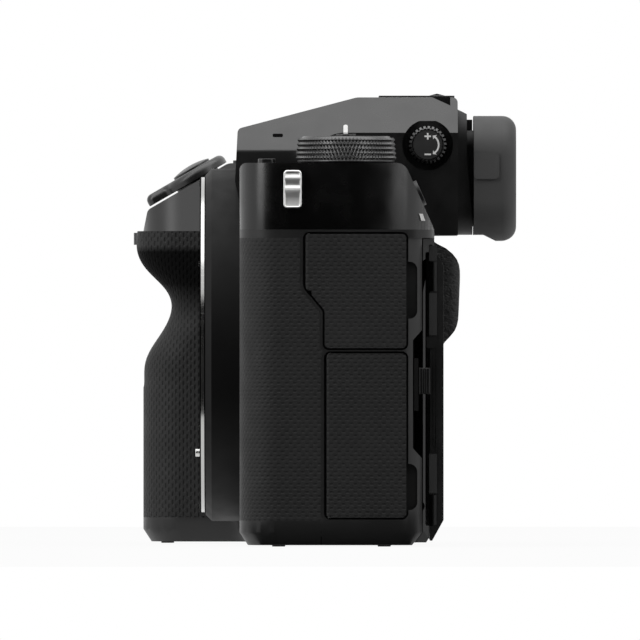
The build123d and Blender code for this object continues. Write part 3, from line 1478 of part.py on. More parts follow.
def monitor_swing_plate():
    """Plate that swings about the upright pin, with ears for the arm."""
    y1 = swing_front_y + swing_thickness
    plate = block(swing_axis_x, swing_right_x, swing_front_y, y1, swing_base_z, swing_top_z)
    plate += rod_z(swing_axis_x, swing_axis_y, swing_base_z, swing_top_z, swing_barrel_radius)
    plate -= block(swing_axis_x + swing_window_margin * 2, swing_right_x - swing_window_margin * 2,
                   swing_front_y - cut_over, y1 + cut_over, swing_base_z + swing_window_margin * 2,
                   swing_top_z - swing_window_margin)
    plate -= rod_z(swing_axis_x, swing_axis_y, swing_base_z - cut_over, swing_top_z + cut_over,
                   swing_pin_radius + running_clearance)
    r = arm_barrel_radius
    for ear_x, sign in ((arm_left_x - slide_gap, -1), (arm_right_x + slide_gap, 1)):
        x0, x1 = sorted((ear_x, ear_x + sign * arm_ear_width))
        plate += block(x0, x1, y1 - swing_thickness / 2, arm_axis_y, arm_axis_z - r, arm_axis_z + r)
        plate += rod_x(arm_axis_y, arm_axis_z, x0, x1, r)
        p0, p1 = sorted((ear_x, ear_x - sign * arm_pin_length))
        plate += rod_x(arm_axis_y, arm_axis_z, p0, p1, arm_pin_radius)
    tab_y = slider_front_y - slide_gap - slider_tab_thickness
    plate += block(slider_tab_left_x, slider_outer_x - slide_gap, tab_y, tab_y + slider_tab_thickness,
                   slider_tab_base_z, slider_tab_top_z)
    plate += block(slider_tab_left_x, swing_right_x, swing_front_y, tab_y + slider_tab_thickness,
                   slider_tab_base_z, slider_tab_top_z)
    return plate


def monitor_tilt_arm():
    """Frame of two bars between the lower and the upper tilt barrel."""
    y1 = arm_front_y + arm_thickness
    arm = block(arm_left_x, arm_right_x, arm_front_y, y1, arm_axis_z, arm_top_z)
    arm -= block(arm_left_x + arm_bar_width, arm_right_x - arm_bar_width, arm_front_y - cut_over,
                 y1 + cut_over, arm_axis_z + arm_bar_width, arm_top_z - arm_bar_width)
    arm += rod_x(arm_axis_y, arm_axis_z, arm_left_x, arm_right_x, arm_barrel_radius)
    web = outline([(arm_front_y, arm_top_z - arm_bar_width / 2), (arm_front_y, arm_top_z),
                   (tilt_axis_y - tilt_barrel_radius, tilt_axis_z), (tilt_axis_y, tilt_axis_z),
                   (y1, arm_top_z - arm_bar_width / 2)])
    arm += along_x(web, arm_left_x, arm_right_x)
    arm += rod_x(tilt_axis_y, tilt_axis_z, arm_left_x, arm_right_x, tilt_barrel_radius)
    for y, z, r in ((arm_axis_y, arm_axis_z, arm_pin_radius), (tilt_axis_y, tilt_axis_z, tilt_pin_radius)):
        arm -= rod_x(y, z, arm_left_x - cut_over, arm_right_x + cut_over, r + running_clearance)
    return arm


def monitor_housing():
    """Screen housing, its long edges slanted, with a pocket for the barrel."""
    face = outline([(monitor_front_y, monitor_base_z), (monitor_back_y - monitor_chamfer_y, monitor_base_z),
                    (monitor_back_y, monitor_base_z + monitor_chamfer_z),
                    (monitor_back_y, monitor_top_z - monitor_chamfer_z),
                    (monitor_back_y - monitor_chamfer_y, monitor_top_z), (monitor_front_y, monitor_top_z)])
    shell = along_x(face, monitor_left_x, monitor_right_x)
    shell += block(monitor_left_x + monitor_inset_margin, monitor_right_x - monitor_inset_margin,
                   monitor_inset_y, monitor_front_y, monitor_base_z + monitor_inset_margin,
                   monitor_top_z - monitor_inset_margin / 2)
    pocket_y = tilt_axis_y + tilt_barrel_radius + tilt_pocket_gap
    ear_x0 = arm_left_x - slide_gap
    ear_x1 = arm_right_x + slide_gap
    shell -= block(ear_x0, ear_x1, monitor_inset_y - cut_over, pocket_y, tilt_pocket_base_z,
                   tilt_pocket_top_z)
    for p0, p1 in ((ear_x0, ear_x0 + arm_pin_length), (ear_x1 - arm_pin_length, ear_x1)):
        shell += rod_x(tilt_axis_y, tilt_axis_z, p0, p1, tilt_pin_radius)
    return shell - monitor_glass()


def monitor_glass():
    return block(monitor_left_x + glass_margin, monitor_right_x - glass_margin,
                 monitor_back_y - glass_thickness, monitor_back_y,
                 monitor_base_z + monitor_chamfer_z + seat_gap, monitor_top_z - monitor_chamfer_z - seat_gap)


def monitor_release_slider():
    """Ribbed catch at the port edge that frees the swing plate."""
    x0 = monitor_right_x + slide_gap * 3
    catch = block(x0, slider_outer_x, slider_front_y, slider_rear_y, slider_base_z, slider_top_z)
    pitch = (slider_rear_y - slider_front_y) / slider_ribs
    for i in range(1, slider_ribs, 2):
        y = slider_front_y + pitch * i
        catch -= block(slider_outer_x - slider_rib_depth, slider_outer_x + cut_over, y, y + pitch,
                       slider_base_z - cut_over, slider_top_z + cut_over)
    return catch


def make_parts():
    skin = skin_shell()
    front, rear = casing_halves(skin)
    button_depth = casing_wall + small_button_depth
    return {
        "front_casing": front,
        "rear_casing": rear,
        "top_cover": top_cover(),
        "base_plate": base_plate(),
        "tripod_socket": tripod_socket(),
        "chassis_frame": chassis_frame(),
        "main_board": main_board(),
        "mount_flange": mount_flange(),
        "lens_contacts": lens_contacts(),
        "throat_baffle": throat_baffle(),
        "shutter_unit": shutter_unit(),
        "sensor_carriage": sensor_carriage(),
        "image_sensor": image_sensor(),
        "body_skin": skin,
        "handgrip_rubber": grip_rubber_zone(),
        "thumb_rest": thumb_rest(),
        "hot_shoe": hot_shoe(),
        "viewfinder_unit": viewfinder_unit(),
        "viewfinder_display": viewfinder_display(),
        "eyepiece_lens": eyepiece_lens(),
        "eyecup": eyecup(),
        "port_panel": port_panel(),
        "strap_lugs": [strap_lug(port_side_x, 1), strap_lug(grip_side_x, -1)],
        "battery": battery(),
        "card_slot_unit": card_slot_unit(),
        "sub_display_window": sub_display_window(),
        "rubber_feet": rubber_feet(),
        "hinge_pins": door_pins() + battery_pins() + [swing_pin()],
        "mode_dial": mode_dial(),
        "mode_dial_lock": mode_dial_lock(),
        "still_movie_lever": still_movie_lever(),
        "diopter_dial": diopter_dial(),
        "front_command_dial": command_dial(front_dial_x, front_dial_y, front_dial_radius,
                                           front_dial_base_z, front_dial_top_z),
        "rear_command_dial": command_dial(rear_dial_x, rear_dial_y, rear_dial_radius,
                                          rear_dial_base_z, rear_dial_top_z),
        "power_lever": power_lever(),
        "shutter_button": shutter_button(),
        "exposure_button": exposure_button(),
        "front_function_button": front_button(front_function_x, front_function_z, small_button_radius,
                                              small_button_rise, small_button_depth, button_travel),
        "lens_release_button": front_button(lens_button_x, lens_button_z, lens_button_radius,
                                            lens_button_rise, lens_button_depth, pin_travel),
        "lens_lock_pin": lens_lock_pin(),
        "delete_button": slant_button(delete_x),
        "playback_button": slant_button(playback_x),
        "af_on_button": rear_button(af_on_x, af_on_z, rear_button_radius, rear_button_rise),
        "quick_button": rear_button(quick_x, quick_z, small_button_radius, small_button_rise),
        "focus_mode_lever": focus_mode_lever(),
        "focus_stick": focus_stick(),
        "menu_ok_button": menu_ok_button(),
        "disp_back_button": rear_button(back_x, back_z, rear_button_radius, rear_button_rise),
        "upper_port_door": upper_port_door(),
        "lower_port_door": lower_port_door(),
        "battery_door": battery_door(),
        "battery_latch": battery_latch(),
        "card_door": card_door(),
        "monitor_swing_plate": monitor_swing_plate(),
        "monitor_tilt_arm": monitor_tilt_arm(),
        "monitor_housing": monitor_housing(),
        "monitor_glass": monitor_glass(),
        "monitor_release_slider": monitor_release_slider(),
        "hot_shoe_cover": hot_shoe_cover(),
    }


def write_parts():
    os.makedirs("parts", exist_ok=True)
    for name, shape in make_parts().items():
        solids = shape if isinstance(shape, list) else [shape]
        whole = solids[0] if len(solids) == 1 else Compound(children=[s.solid() for s in solids])
        export_step(whole, f"parts/{name}.step")
        print(name, len(whole.solids()), round(whole.volume, 1))


write_parts()
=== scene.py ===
import bpy, bmesh, math, json
from mathutils import Vector, Matrix
from mathutils.bvhtree import BVHTree

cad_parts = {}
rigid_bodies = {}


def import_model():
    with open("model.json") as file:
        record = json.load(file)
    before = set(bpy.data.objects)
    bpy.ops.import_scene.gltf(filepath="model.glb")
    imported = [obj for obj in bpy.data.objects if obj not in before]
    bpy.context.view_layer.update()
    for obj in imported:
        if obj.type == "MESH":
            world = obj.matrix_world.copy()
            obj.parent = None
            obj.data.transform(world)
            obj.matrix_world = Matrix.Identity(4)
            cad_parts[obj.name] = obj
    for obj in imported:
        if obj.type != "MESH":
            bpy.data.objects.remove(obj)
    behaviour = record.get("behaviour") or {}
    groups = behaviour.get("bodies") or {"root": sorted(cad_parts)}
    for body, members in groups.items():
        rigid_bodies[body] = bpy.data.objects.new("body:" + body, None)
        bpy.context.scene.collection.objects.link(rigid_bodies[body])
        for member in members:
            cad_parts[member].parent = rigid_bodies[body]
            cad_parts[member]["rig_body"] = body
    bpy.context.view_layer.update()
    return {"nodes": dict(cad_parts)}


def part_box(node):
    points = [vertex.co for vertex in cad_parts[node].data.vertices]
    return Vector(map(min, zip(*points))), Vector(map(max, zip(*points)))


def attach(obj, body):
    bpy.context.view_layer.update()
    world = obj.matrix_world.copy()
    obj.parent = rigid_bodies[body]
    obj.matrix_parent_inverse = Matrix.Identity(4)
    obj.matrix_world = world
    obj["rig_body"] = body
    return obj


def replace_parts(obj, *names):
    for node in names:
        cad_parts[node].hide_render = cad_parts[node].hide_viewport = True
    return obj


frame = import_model()
nodes = frame["nodes"]
mm = 0.001
print("frame loaded:", len(nodes), "nodes")


# helpers

def middle(node, axis):  # middle of a node's box along an axis
    low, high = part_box(node)
    return (low[axis] + high[axis]) / 2


def newTree(name):
    mat = bpy.data.materials.new(name)
    mat.use_nodes = True
    mat.node_tree.nodes.clear()
    return mat, mat.node_tree


def link(tree, a, b):
    tree.links.new(a, b)


def mathNode(tree, op, a, b=None, c=None):
    n = tree.nodes.new("ShaderNodeMath")
    n.operation = op
    for socket, value in zip(n.inputs, (a, b, c)):
        if isinstance(value, (int, float)):
            socket.default_value = value
        elif value is not None:
            link(tree, value, socket)
    return n.outputs[0]


def mapRange(tree, value, lo, hi, outLo, outHi):
    n = tree.nodes.new("ShaderNodeMapRange")
    link(tree, value, n.inputs["Value"])
    for key, v in (("From Min", lo), ("From Max", hi), ("To Min", outLo), ("To Max", outHi)):
        n.inputs[key].default_value = v
    return n.outputs["Result"]


def objectCoords(tree, scale=(1, 1, 1)):
    tex = tree.nodes.new("ShaderNodeTexCoord")
    place = tree.nodes.new("ShaderNodeMapping")
    place.inputs["Scale"].default_value = scale
    link(tree, tex.outputs["Object"], place.inputs["Vector"])
    return place.outputs["Vector"]


def axesOf(tree):
    split = tree.nodes.new("ShaderNodeSeparateXYZ")
    link(tree, objectCoords(tree), split.inputs[0])
    return split.outputs


def noiseAt(tree, coords, scale, detail=2.0, rough=0.5):
    n = tree.nodes.new("ShaderNodeTexNoise")
    n.inputs["Scale"].default_value = scale
    n.inputs["Detail"].default_value = detail
    n.inputs["Roughness"].default_value = rough
    link(tree, coords, n.inputs["Vector"])
    return n.outputs["Fac"]


def bumpNode(tree, height, distance, strength, normal=None):
    n = tree.nodes.new("ShaderNodeBump")
    n.inputs["Distance"].default_value = distance
    n.inputs["Strength"].default_value = strength
    link(tree, height, n.inputs["Height"])
    if normal is not None:
        link(tree, normal, n.inputs["Normal"])
    return n.outputs["Normal"]


# finishes

dashShape = {"offset": 1000.0, "rowSoft": (0.12, 0.34), "endSoft": 0.08}  # offset keeps values above nought


def dashes(tree, u, v, longPitch, shortPitch, fill):  # one in short staggered dashes along u, else nought
    offset = dashShape["offset"]
    row = mathNode(tree, "ADD", mathNode(tree, "DIVIDE", v, shortPitch), offset)
    odd = mathNode(tree, "MODULO", mathNode(tree, "FLOOR", row), 2.0)
    stagger = mathNode(tree, "MULTIPLY", odd, 0.5)
    column = mathNode(tree, "ADD", mathNode(tree, "DIVIDE", u, longPitch), stagger)
    column = mathNode(tree, "FRACT", mathNode(tree, "ADD", column, offset))
    across = mathNode(tree, "ABSOLUTE", mathNode(tree, "SUBTRACT", mathNode(tree, "FRACT", row), 0.5))
    along = mathNode(tree, "ABSOLUTE", mathNode(tree, "SUBTRACT", column, 0.5))
    lineMask = mapRange(tree, across, *dashShape["rowSoft"], 1.0, 0.0)
    soft = dashShape["endSoft"]
    endMask = mapRange(tree, along, fill / 2 - soft, fill / 2 + soft, 1.0, 0.0)
    return mathNode(tree, "MULTIPLY", lineMask, endMask)


wovenTiles = {"longPitch": 0.00184, "shortPitch": 0.00092, "fill": 0.42}


def wovenCells(tree):  # flat dark dashes between the low tiles of the body covering
    axes = axesOf(tree)
    return dashes(tree, mathNode(tree, "ADD", axes["Y"], axes["X"]), axes["Z"], **wovenTiles)


gripTiles = {"longPitch": 0.0019, "shortPitch": 0.00098, "fill": 0.55}
gripCore = {"side": 0.066, "back": 0.026, "radius": 0.0185}


def gripCells(tree):  # upright tiles of the handgrip rubber, laid round the grip's core
    axes = axesOf(tree)
    turn = mathNode(tree, "ARCTAN2", mathNode(tree, "ADD", axes["Y"], gripCore["back"]),
                    mathNode(tree, "ADD", axes["X"], gripCore["side"]))
    return dashes(tree, axes["Z"], mathNode(tree, "MULTIPLY", turn, gripCore["radius"]), **gripTiles)


leather = {"scale": 900.0, "upright": 1.4, "from": 0.42, "to": 0.6}


def leatherCells(tree):  # fine wrinkles of moulded rubber
    coords = objectCoords(tree, (1, 1, leather["upright"]))
    wrinkles = noiseAt(tree, coords, leather["scale"], detail=1.0)
    return mapRange(tree, wrinkles, leather["from"], leather["to"], 0.0, 1.0)


# painted shade under the grip's top band: heights in metres where it rises and falls, its greatest share,
# and the dark grey it mixes in
veilBand = {"foot": 0.051, "full": 0.060, "fade": 0.0675, "end": 0.0690, "most": 0.9, "tone": 0.004}


def paintedRecessShade(tree):  # share of painted shade in the hollow under the grip's top band, darkening the rubber's colour and gloss
    height = axesOf(tree)["Z"]
    most = veilBand["most"]
    rise = mapRange(tree, height, veilBand["foot"], veilBand["full"], 0.0, most)
    fall = mapRange(tree, height, veilBand["fade"], veilBand["end"], most, 0.0)
    return mathNode(tree, "MINIMUM", rise, fall)


def curvedFall(tree, value, start, rate, side="MAXIMUM"):  # rate times the square of the way past the start
    past = mathNode(tree, side, mathNode(tree, "SUBTRACT", value, start), 0.0)
    return mathNode(tree, "MULTIPLY", mathNode(tree, "MULTIPLY", past, past), rate)


coverCurve = {"rearStart": 0.008, "rearFall": -15.0, "topStart": 0.073, "topFall": -5.0}


def coverSwell(tree):  # gentle swell of the cover's flat sides, in metres of relief
    axes = axesOf(tree)
    rear = curvedFall(tree, axes["Y"], coverCurve["rearStart"], coverCurve["rearFall"])
    top = curvedFall(tree, axes["Z"], coverCurve["topStart"], coverCurve["topFall"])
    return mathNode(tree, "ADD", rear, top)


footCurve = {"start": 0.0035, "fall": -16.0}


def baseSwell(tree):  # rounding of the casing's foot, in metres of relief
    return curvedFall(tree, axesOf(tree)["Z"], footCurve["start"], footCurve["fall"], "MINIMUM")


deckSlope = -0.5


def deckSwell(tree):  # slope of the deck's rounded inner side
    return mathNode(tree, "MULTIPLY", axesOf(tree)["Z"], deckSlope)


lensAxis = middle("mount_flange", 2)  # height of the lens axis
lathePitch = 0.00025


def turnedLines(tree):  # fine rings left by the lathe about the lens axis
    axes = axesOf(tree)
    up = mathNode(tree, "SUBTRACT", axes["Z"], lensAxis)
    squares = [mathNode(tree, "MULTIPLY", value, value) for value in (up, axes["X"])]
    radius = mathNode(tree, "SQRT", mathNode(tree, "ADD", *squares))
    return mathNode(tree, "FRACT", mathNode(tree, "DIVIDE", radius, lathePitch))


def mixColour(tree, blend, factor, base, over):  # lays a grey over a colour, by the sockets' numbers
    n = tree.nodes.new("ShaderNodeMix")
    n.data_type = "RGBA"
    n.blend_type = blend
    link(tree, factor, n.inputs["Factor"])
    link(tree, base, n.inputs[6])
    n.inputs[7].default_value = (over, over, over, 1)
    return n.outputs[2]


plainFinish = {"spread": 0.12, "blotchScale": 60.0, "roughSpread": 0.05, "roughScale": 180.0, "metal": 0.0,
               "shine": 0.5, "clear": 0.0, "grain": 0.00001, "grainScale": 3000.0}


# a mottled colour, uneven roughness, fine grain and an optional pattern
def finish(name, colour, rough, pattern=None, depth=0.0, relief=0.0, **extra):
    look = {**plainFinish, **extra}
    mat, tree = newTree(name)
    out = tree.nodes.new("ShaderNodeOutputMaterial")
    bsdf = tree.nodes.new("ShaderNodeBsdfPrincipled")
    link(tree, bsdf.outputs[0], out.inputs["Surface"])
    coords = objectCoords(tree)
    ramp = tree.nodes.new("ShaderNodeValToRGB")
    for stop, position, side in zip(ramp.color_ramp.elements, (0.3, 0.7), (-1, 1)):
        stop.position = position
        stop.color = [min(c * (1 + side * look["spread"]), 1.0) for c in colour] + [1]
    link(tree, noiseAt(tree, coords, look["blotchScale"], detail=3.0), ramp.inputs["Fac"])
    colourOut = ramp.outputs["Color"]
    shine = look["shine"]
    mask = pattern(tree) if pattern else None
    if depth:
        colourOut = mixColour(tree, "MULTIPLY", mapRange(tree, mask, 0.0, 1.0, 0.0, depth), colourOut, 0)
    # painted shade: mixes the colour towards a dark grey and lowers the gloss by the same share
    if "veil" in look:
        veil = look["veil"](tree)
        colourOut = mixColour(tree, "MIX", veil, colourOut, veilBand["tone"])
        shineOutsideShade = mathNode(tree, "MULTIPLY", mathNode(tree, "SUBTRACT", 1.0, veil), shine)
        link(tree, shineOutsideShade, bsdf.inputs["Specular IOR Level"])
    link(tree, colourOut, bsdf.inputs["Base Color"])
    uneven = noiseAt(tree, coords, look["roughScale"])
    drift = look["roughSpread"]
    link(tree, mapRange(tree, uneven, 0.3, 0.7, rough - drift, rough + drift), bsdf.inputs["Roughness"])
    bsdf.inputs["Metallic"].default_value = look["metal"]
    bsdf.inputs["Specular IOR Level"].default_value = shine
    bsdf.inputs["Transmission Weight"].default_value = look["clear"]
    normal = bumpNode(tree, noiseAt(tree, coords, look["grainScale"], rough=0.6), look["grain"], 0.5)
    if "swell" in look:
        normal = bumpNode(tree, look["swell"](tree), 1.0, 1.0, normal)
    if relief:
        normal = bumpNode(tree, mathNode(tree, "SUBTRACT", 1.0, mask), relief, 1.0, normal)
    link(tree, normal, bsdf.inputs["Normal"])
    return mat


def grey(level):
    return (level, level, level)


casingPaint = finish("satinCasingPaint", grey(0.014), rough=0.42, shine=0.38, grain=0.00002, swell=baseSwell)
finderPaint = finish("satinFinderPaint", grey(0.016), rough=0.5, shine=0.28, grain=0.00002)
wallPaint = finish("coverWallPaint", grey(0.006), rough=0.42, shine=0.4, grain=0.000008)
capFinish = finish("mouldedCap", grey(0.026), rough=0.5, shine=0.4)
coverPaint = finish("deepCoverPaint", grey(0.0015), rough=0.3, grain=0.000008)
coverSide = finish("coverSidePaint", grey(0.0015), rough=0.24, grain=0.000008, swell=coverSwell)
deckSide = finish("deckSidePaint", grey(0.003), rough=0.34, grain=0.000008, swell=deckSwell)
barrelPaint = finish("satinBarrelPaint", grey(0.003), rough=0.6, shine=0.2)
skinFinish = finish("wovenBodySkin", grey(0.014), rough=0.62, pattern=wovenCells, depth=0.4,
                    relief=0.00006, shine=0.35, grain=0.00004, grainScale=1800.0)
# the grip rubber carries painted shade in the hollow under its top band
gripFinish = finish("tiledGripRubber", grey(0.019), rough=0.66, pattern=gripCells, depth=0.65,
                    relief=0.00018, shine=0.32, grain=0.00005, grainScale=1600.0, veil=paintedRecessShade)
thumbFinish = finish("leatherThumbRubber", grey(0.022), rough=0.66, pattern=leatherCells, depth=0.5,
                     relief=0.00012, shine=0.3)
eyeRubber = finish("softEyeRubber", grey(0.070), rough=0.62, shine=0.4, grain=0.000015)
footRubber = finish("footRubber", grey(0.020), rough=0.7, shine=0.3)
innerBlack = finish("matteInnerBlack", grey(0.004), rough=0.75, shine=0.2)
controlBlack = finish("anodisedControl", grey(0.012), rough=0.33, shine=0.6)
knurlMetal = finish("knurledControl", grey(0.085), rough=0.3, metal=0.85)
keyPlastic = finish("keyPlastic", grey(0.014), rough=0.42)
panelPlastic = finish("panelPlastic", grey(0.007), rough=0.42, shine=0.45)
# dead black for slots, seams and small dark pads, and for the painted shade on the mount ring's edge
slotAndShadeBlack = finish("deepSlotAndPaintedShade", grey(0.0006), rough=0.9, shine=0.05)
mountSteel = finish("turnedMountSteel", (0.50, 0.50, 0.49), rough=0.2, pattern=turnedLines, relief=0.000004,
                    metal=1.0, spread=0.03, grain=0.000002)
bowSteel = finish("brushedBows", (0.95, 0.95, 0.94), rough=0.5, metal=1.0, spread=0.03, grain=0.000003)
brightSteel = finish("polishedSteel", (0.66, 0.66, 0.65), rough=0.2, metal=1.0, spread=0.03, grain=0.000003)
shoeMetal = finish("platedShoe", grey(0.12), rough=0.32, metal=1.0)
worksMetal = finish("castAlloy", (0.30, 0.31, 0.32), rough=0.45, metal=1.0)
giltPins = finish("giltContacts", (0.83, 0.62, 0.28), rough=0.25, metal=1.0, spread=0.05)
boardGreen = finish("circuitBoard", (0.02, 0.10, 0.05), rough=0.5)
sensorCoat = finish("sensorCoverGlass", (0.03, 0.06, 0.09), rough=0.08, metal=0.6, roughSpread=0.02)
screenGlass = finish("screenCover", (0.004, 0.004, 0.0045), rough=0.07, roughSpread=0.02, grain=0.000001)
lensGlass = finish("eyepieceGlass", (0.75, 0.8, 0.82), rough=0.03, clear=1.0, roughSpread=0.01,
                   grain=0.0000005)
trimGrey = finish("monitorTrim", grey(0.030), rough=0.45, shine=0.4)
markWhite = finish("markPaint", (0.93, 0.93, 0.92), rough=0.5, spread=0.02)
print("finishes made")


# carried-over nodes

dressing = {
    "front_casing": casingPaint, "rear_casing": casingPaint, "top_cover": coverPaint,
    "base_plate": casingPaint, "tripod_socket": brightSteel, "chassis_frame": worksMetal,
    "main_board": boardGreen, "mount_flange": mountSteel, "lens_contacts": innerBlack,
    "throat_baffle": innerBlack, "shutter_unit": innerBlack, "sensor_carriage": worksMetal,
    "image_sensor": sensorCoat, "body_skin": skinFinish, "handgrip_rubber": gripFinish,
    "thumb_rest": thumbFinish, "hot_shoe": shoeMetal, "viewfinder_unit": finderPaint,
    "viewfinder_display": screenGlass, "eyepiece_lens": lensGlass, "eyecup": eyeRubber,
    "port_panel": innerBlack, "battery": panelPlastic, "card_slot_unit": innerBlack,
    "sub_display_window": screenGlass, "rubber_feet": footRubber, "hinge_pins": shoeMetal,
    "mode_dial_lock": controlBlack, "still_movie_lever": controlBlack, "front_command_dial": controlBlack,
    "rear_command_dial": controlBlack, "power_lever": controlBlack, "shutter_button": controlBlack,
    "exposure_button": keyPlastic, "front_function_button": keyPlastic, "lens_release_button": keyPlastic,
    "lens_lock_pin": brightSteel, "delete_button": keyPlastic, "playback_button": keyPlastic,
    "af_on_button": keyPlastic, "quick_button": keyPlastic, "focus_mode_lever": controlBlack,
    "focus_stick": footRubber, "menu_ok_button": keyPlastic, "disp_back_button": keyPlastic,
    "upper_port_door": skinFinish, "lower_port_door": skinFinish, "battery_door": panelPlastic,
    "battery_latch": keyPlastic, "card_door": skinFinish, "monitor_swing_plate": innerBlack,
    "monitor_tilt_arm": innerBlack, "monitor_housing": panelPlastic, "monitor_glass": screenGlass,
    "monitor_release_slider": keyPlastic, "hot_shoe_cover": keyPlastic,
}
bodyOf = {name: obj["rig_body"] for name, obj in nodes.items()}
softened = {"bevel": 0.00012, "steps": 2, "angle": 34, "merge": 0.000002, "flat": 0.6}


def plainCopy(obj):  # bakes the modifiers into a plain mesh
    graph = bpy.context.evaluated_depsgraph_get()
    mesh = bpy.data.meshes.new_from_object(obj.evaluated_get(graph))
    obj.modifiers.clear()
    obj.data = mesh
    return obj


def markSharp(bm):  # hard edges where two faces meet at more than the softening angle
    limit = math.radians(softened["angle"])
    for edge in bm.edges:
        edge.smooth = len(edge.link_faces) == 2 and edge.calc_face_angle(0) < limit


def softCopy(node, mat, bevel):  # copy of a node with eased edges
    mesh = nodes[node].data.copy()
    mesh.name = node + "Soft"
    piece = bpy.data.objects.new(node + "_soft", mesh)
    bpy.context.scene.collection.objects.link(piece)
    bm = bmesh.new()
    bm.from_mesh(mesh)
    bmesh.ops.remove_doubles(bm, verts=bm.verts, dist=softened["merge"])
    bmesh.ops.dissolve_limit(bm, angle_limit=math.radians(softened["flat"]), verts=bm.verts, edges=bm.edges)
    for face in bm.faces:
        face.smooth = True
    markSharp(bm)
    bm.to_mesh(mesh)
    bm.free()
    mesh.materials.clear()
    mesh.materials.append(mat)
    mod = piece.modifiers.new("ease", "BEVEL")
    mod.width = bevel
    mod.segments = softened["steps"]
    mod.limit_method = "ANGLE"
    mod.angle_limit = math.radians(softened["angle"])
    mod.harden_normals = True
    plainCopy(piece)
    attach(piece, bodyOf[node])
    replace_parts(piece, node)
    return piece


# geometry trees

def geoTree(name, inputs):  # new tree with a geometry socket and named inputs
    tree = bpy.data.node_groups.new(name, "GeometryNodeTree")
    face = tree.interface
    face.new_socket("Geometry", in_out="INPUT", socket_type="NodeSocketGeometry")
    for label, kind in inputs.items():
        face.new_socket(label, in_out="INPUT", socket_type="NodeSocket" + kind)
    face.new_socket("Geometry", in_out="OUTPUT", socket_type="NodeSocketGeometry")
    entry = tree.nodes.new("NodeGroupInput")
    return tree, entry.outputs


def put(tree, kind, sockets=(), **settings):  # adds a node, wiring or setting its sockets
    n = tree.nodes.new(kind)
    for key, value in settings.items():
        setattr(n, key, value)
    for key, value in dict(sockets).items():
        if isinstance(value, bpy.types.NodeSocket):
            link(tree, value, n.inputs[key])
        else:
            n.inputs[key].default_value = value
    return n


def closeTree(tree, geometry, material):  # realised instances with their material
    solid = put(tree, "GeometryNodeRealizeInstances", {0: geometry})
    dressedUp = put(tree, "GeometryNodeSetMaterial", {"Geometry": solid.outputs[0], "Material": material})
    end = tree.nodes.new("NodeGroupOutput")
    link(tree, dressedUp.outputs[0], end.inputs[0])


def grow(name, tree, values, body, seedMesh=None):  # plain mesh object made by a tree
    mesh = seedMesh or bpy.data.meshes.new(name + "Seed")
    obj = bpy.data.objects.new(name, mesh)
    bpy.context.scene.collection.objects.link(obj)
    mod = obj.modifiers.new("grown", "NODES")
    mod.node_group = tree
    for item in tree.interface.items_tree:
        if item.item_type == "SOCKET" and item.in_out == "INPUT" and item.name in values:
            mod[item.identifier] = values[item.name]
    plainCopy(obj)
    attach(obj, body)
    return obj


def ringOfTeeth():  # staggered rows of small tipped blocks round an upright axis
    tree, given = geoTree("ringOfTeeth", {
        "Count": "Int", "Rows": "Int", "Radius": "Float", "Taper": "Float", "RowGap": "Float",
        "Across": "Float", "Tall": "Float", "Proud": "Float", "Centre": "Vector", "Paint": "Material"})
    ring = put(tree, "GeometryNodeMeshCircle", {"Vertices": given["Count"], "Radius": 1.0})
    rows = put(tree, "GeometryNodeMeshLine", {"Count": given["Rows"]})
    rowStep = put(tree, "ShaderNodeCombineXYZ", {"Z": given["RowGap"]})
    link(tree, rowStep.outputs[0], rows.inputs["Offset"])
    index = put(tree, "GeometryNodeInputIndex").outputs[0]
    half = put(tree, "ShaderNodeMath", {0: math.pi, 1: given["Count"]}, operation="DIVIDE").outputs[0]
    odd = put(tree, "ShaderNodeMath", {0: index, 1: 2.0}, operation="MODULO").outputs[0]
    turn = put(tree, "ShaderNodeMath", {0: half, 1: odd}, operation="MULTIPLY").outputs[0]
    spin = put(tree, "ShaderNodeCombineXYZ", {"Z": turn})
    drop = put(tree, "ShaderNodeMath", {0: given["Taper"], 1: index}, operation="MULTIPLY").outputs[0]
    wide = put(tree, "ShaderNodeMath", {0: given["Radius"], 1: drop}, operation="SUBTRACT").outputs[0]
    grown = put(tree, "ShaderNodeCombineXYZ", {"X": wide, "Y": wide, "Z": 1.0})
    many = put(tree, "GeometryNodeInstanceOnPoints", {
        "Points": rows.outputs["Mesh"], "Instance": ring.outputs["Mesh"], "Rotation": spin.outputs[0],
        "Scale": grown.outputs[0]})
    points = put(tree, "GeometryNodeRealizeInstances", {0: many.outputs[0]})
    stud = put(tree, "GeometryNodeMeshCone", {
        "Vertices": 4, "Radius Top": 0.0, "Radius Bottom": 1.0, "Depth": 1.0})
    size = put(tree, "ShaderNodeCombineXYZ", {"X": given["Tall"], "Y": given["Across"], "Z": given["Proud"]})
    spot = put(tree, "GeometryNodeInputPosition").outputs[0]
    parts = put(tree, "ShaderNodeSeparateXYZ", {0: spot})
    outward = put(tree, "ShaderNodeCombineXYZ", {"X": parts.outputs["X"], "Y": parts.outputs["Y"]})
    aim = put(tree, "FunctionNodeAlignRotationToVector", {"Vector": outward.outputs[0]}, axis="Z")
    upright = put(tree, "FunctionNodeAlignRotationToVector", {
        "Rotation": aim.outputs[0], "Vector": (0, 0, 1)}, axis="X", pivot_axis="Z")
    studs = put(tree, "GeometryNodeInstanceOnPoints", {
        "Points": points.outputs[0], "Instance": stud.outputs["Mesh"], "Rotation": upright.outputs[0],
        "Scale": size.outputs[0]})
    moved = put(tree, "GeometryNodeTransform", {
        "Geometry": studs.outputs[0], "Translation": given["Centre"]})
    closeTree(tree, moved.outputs[0], given["Paint"])
    return tree


def rowOfSlats():  # straight row of equal bars
    tree, given = geoTree("rowOfSlats", {
        "Count": "Int", "Step": "Vector", "Size": "Vector", "Start": "Vector", "Paint": "Material"})
    line = put(tree, "GeometryNodeMeshLine", {
        "Count": given["Count"], "Start Location": given["Start"], "Offset": given["Step"]})
    bar = put(tree, "GeometryNodeMeshCube", {"Size": given["Size"]})
    bars = put(tree, "GeometryNodeInstanceOnPoints", {
        "Points": line.outputs["Mesh"], "Instance": bar.outputs["Mesh"]})
    closeTree(tree, bars.outputs[0], given["Paint"])
    return tree


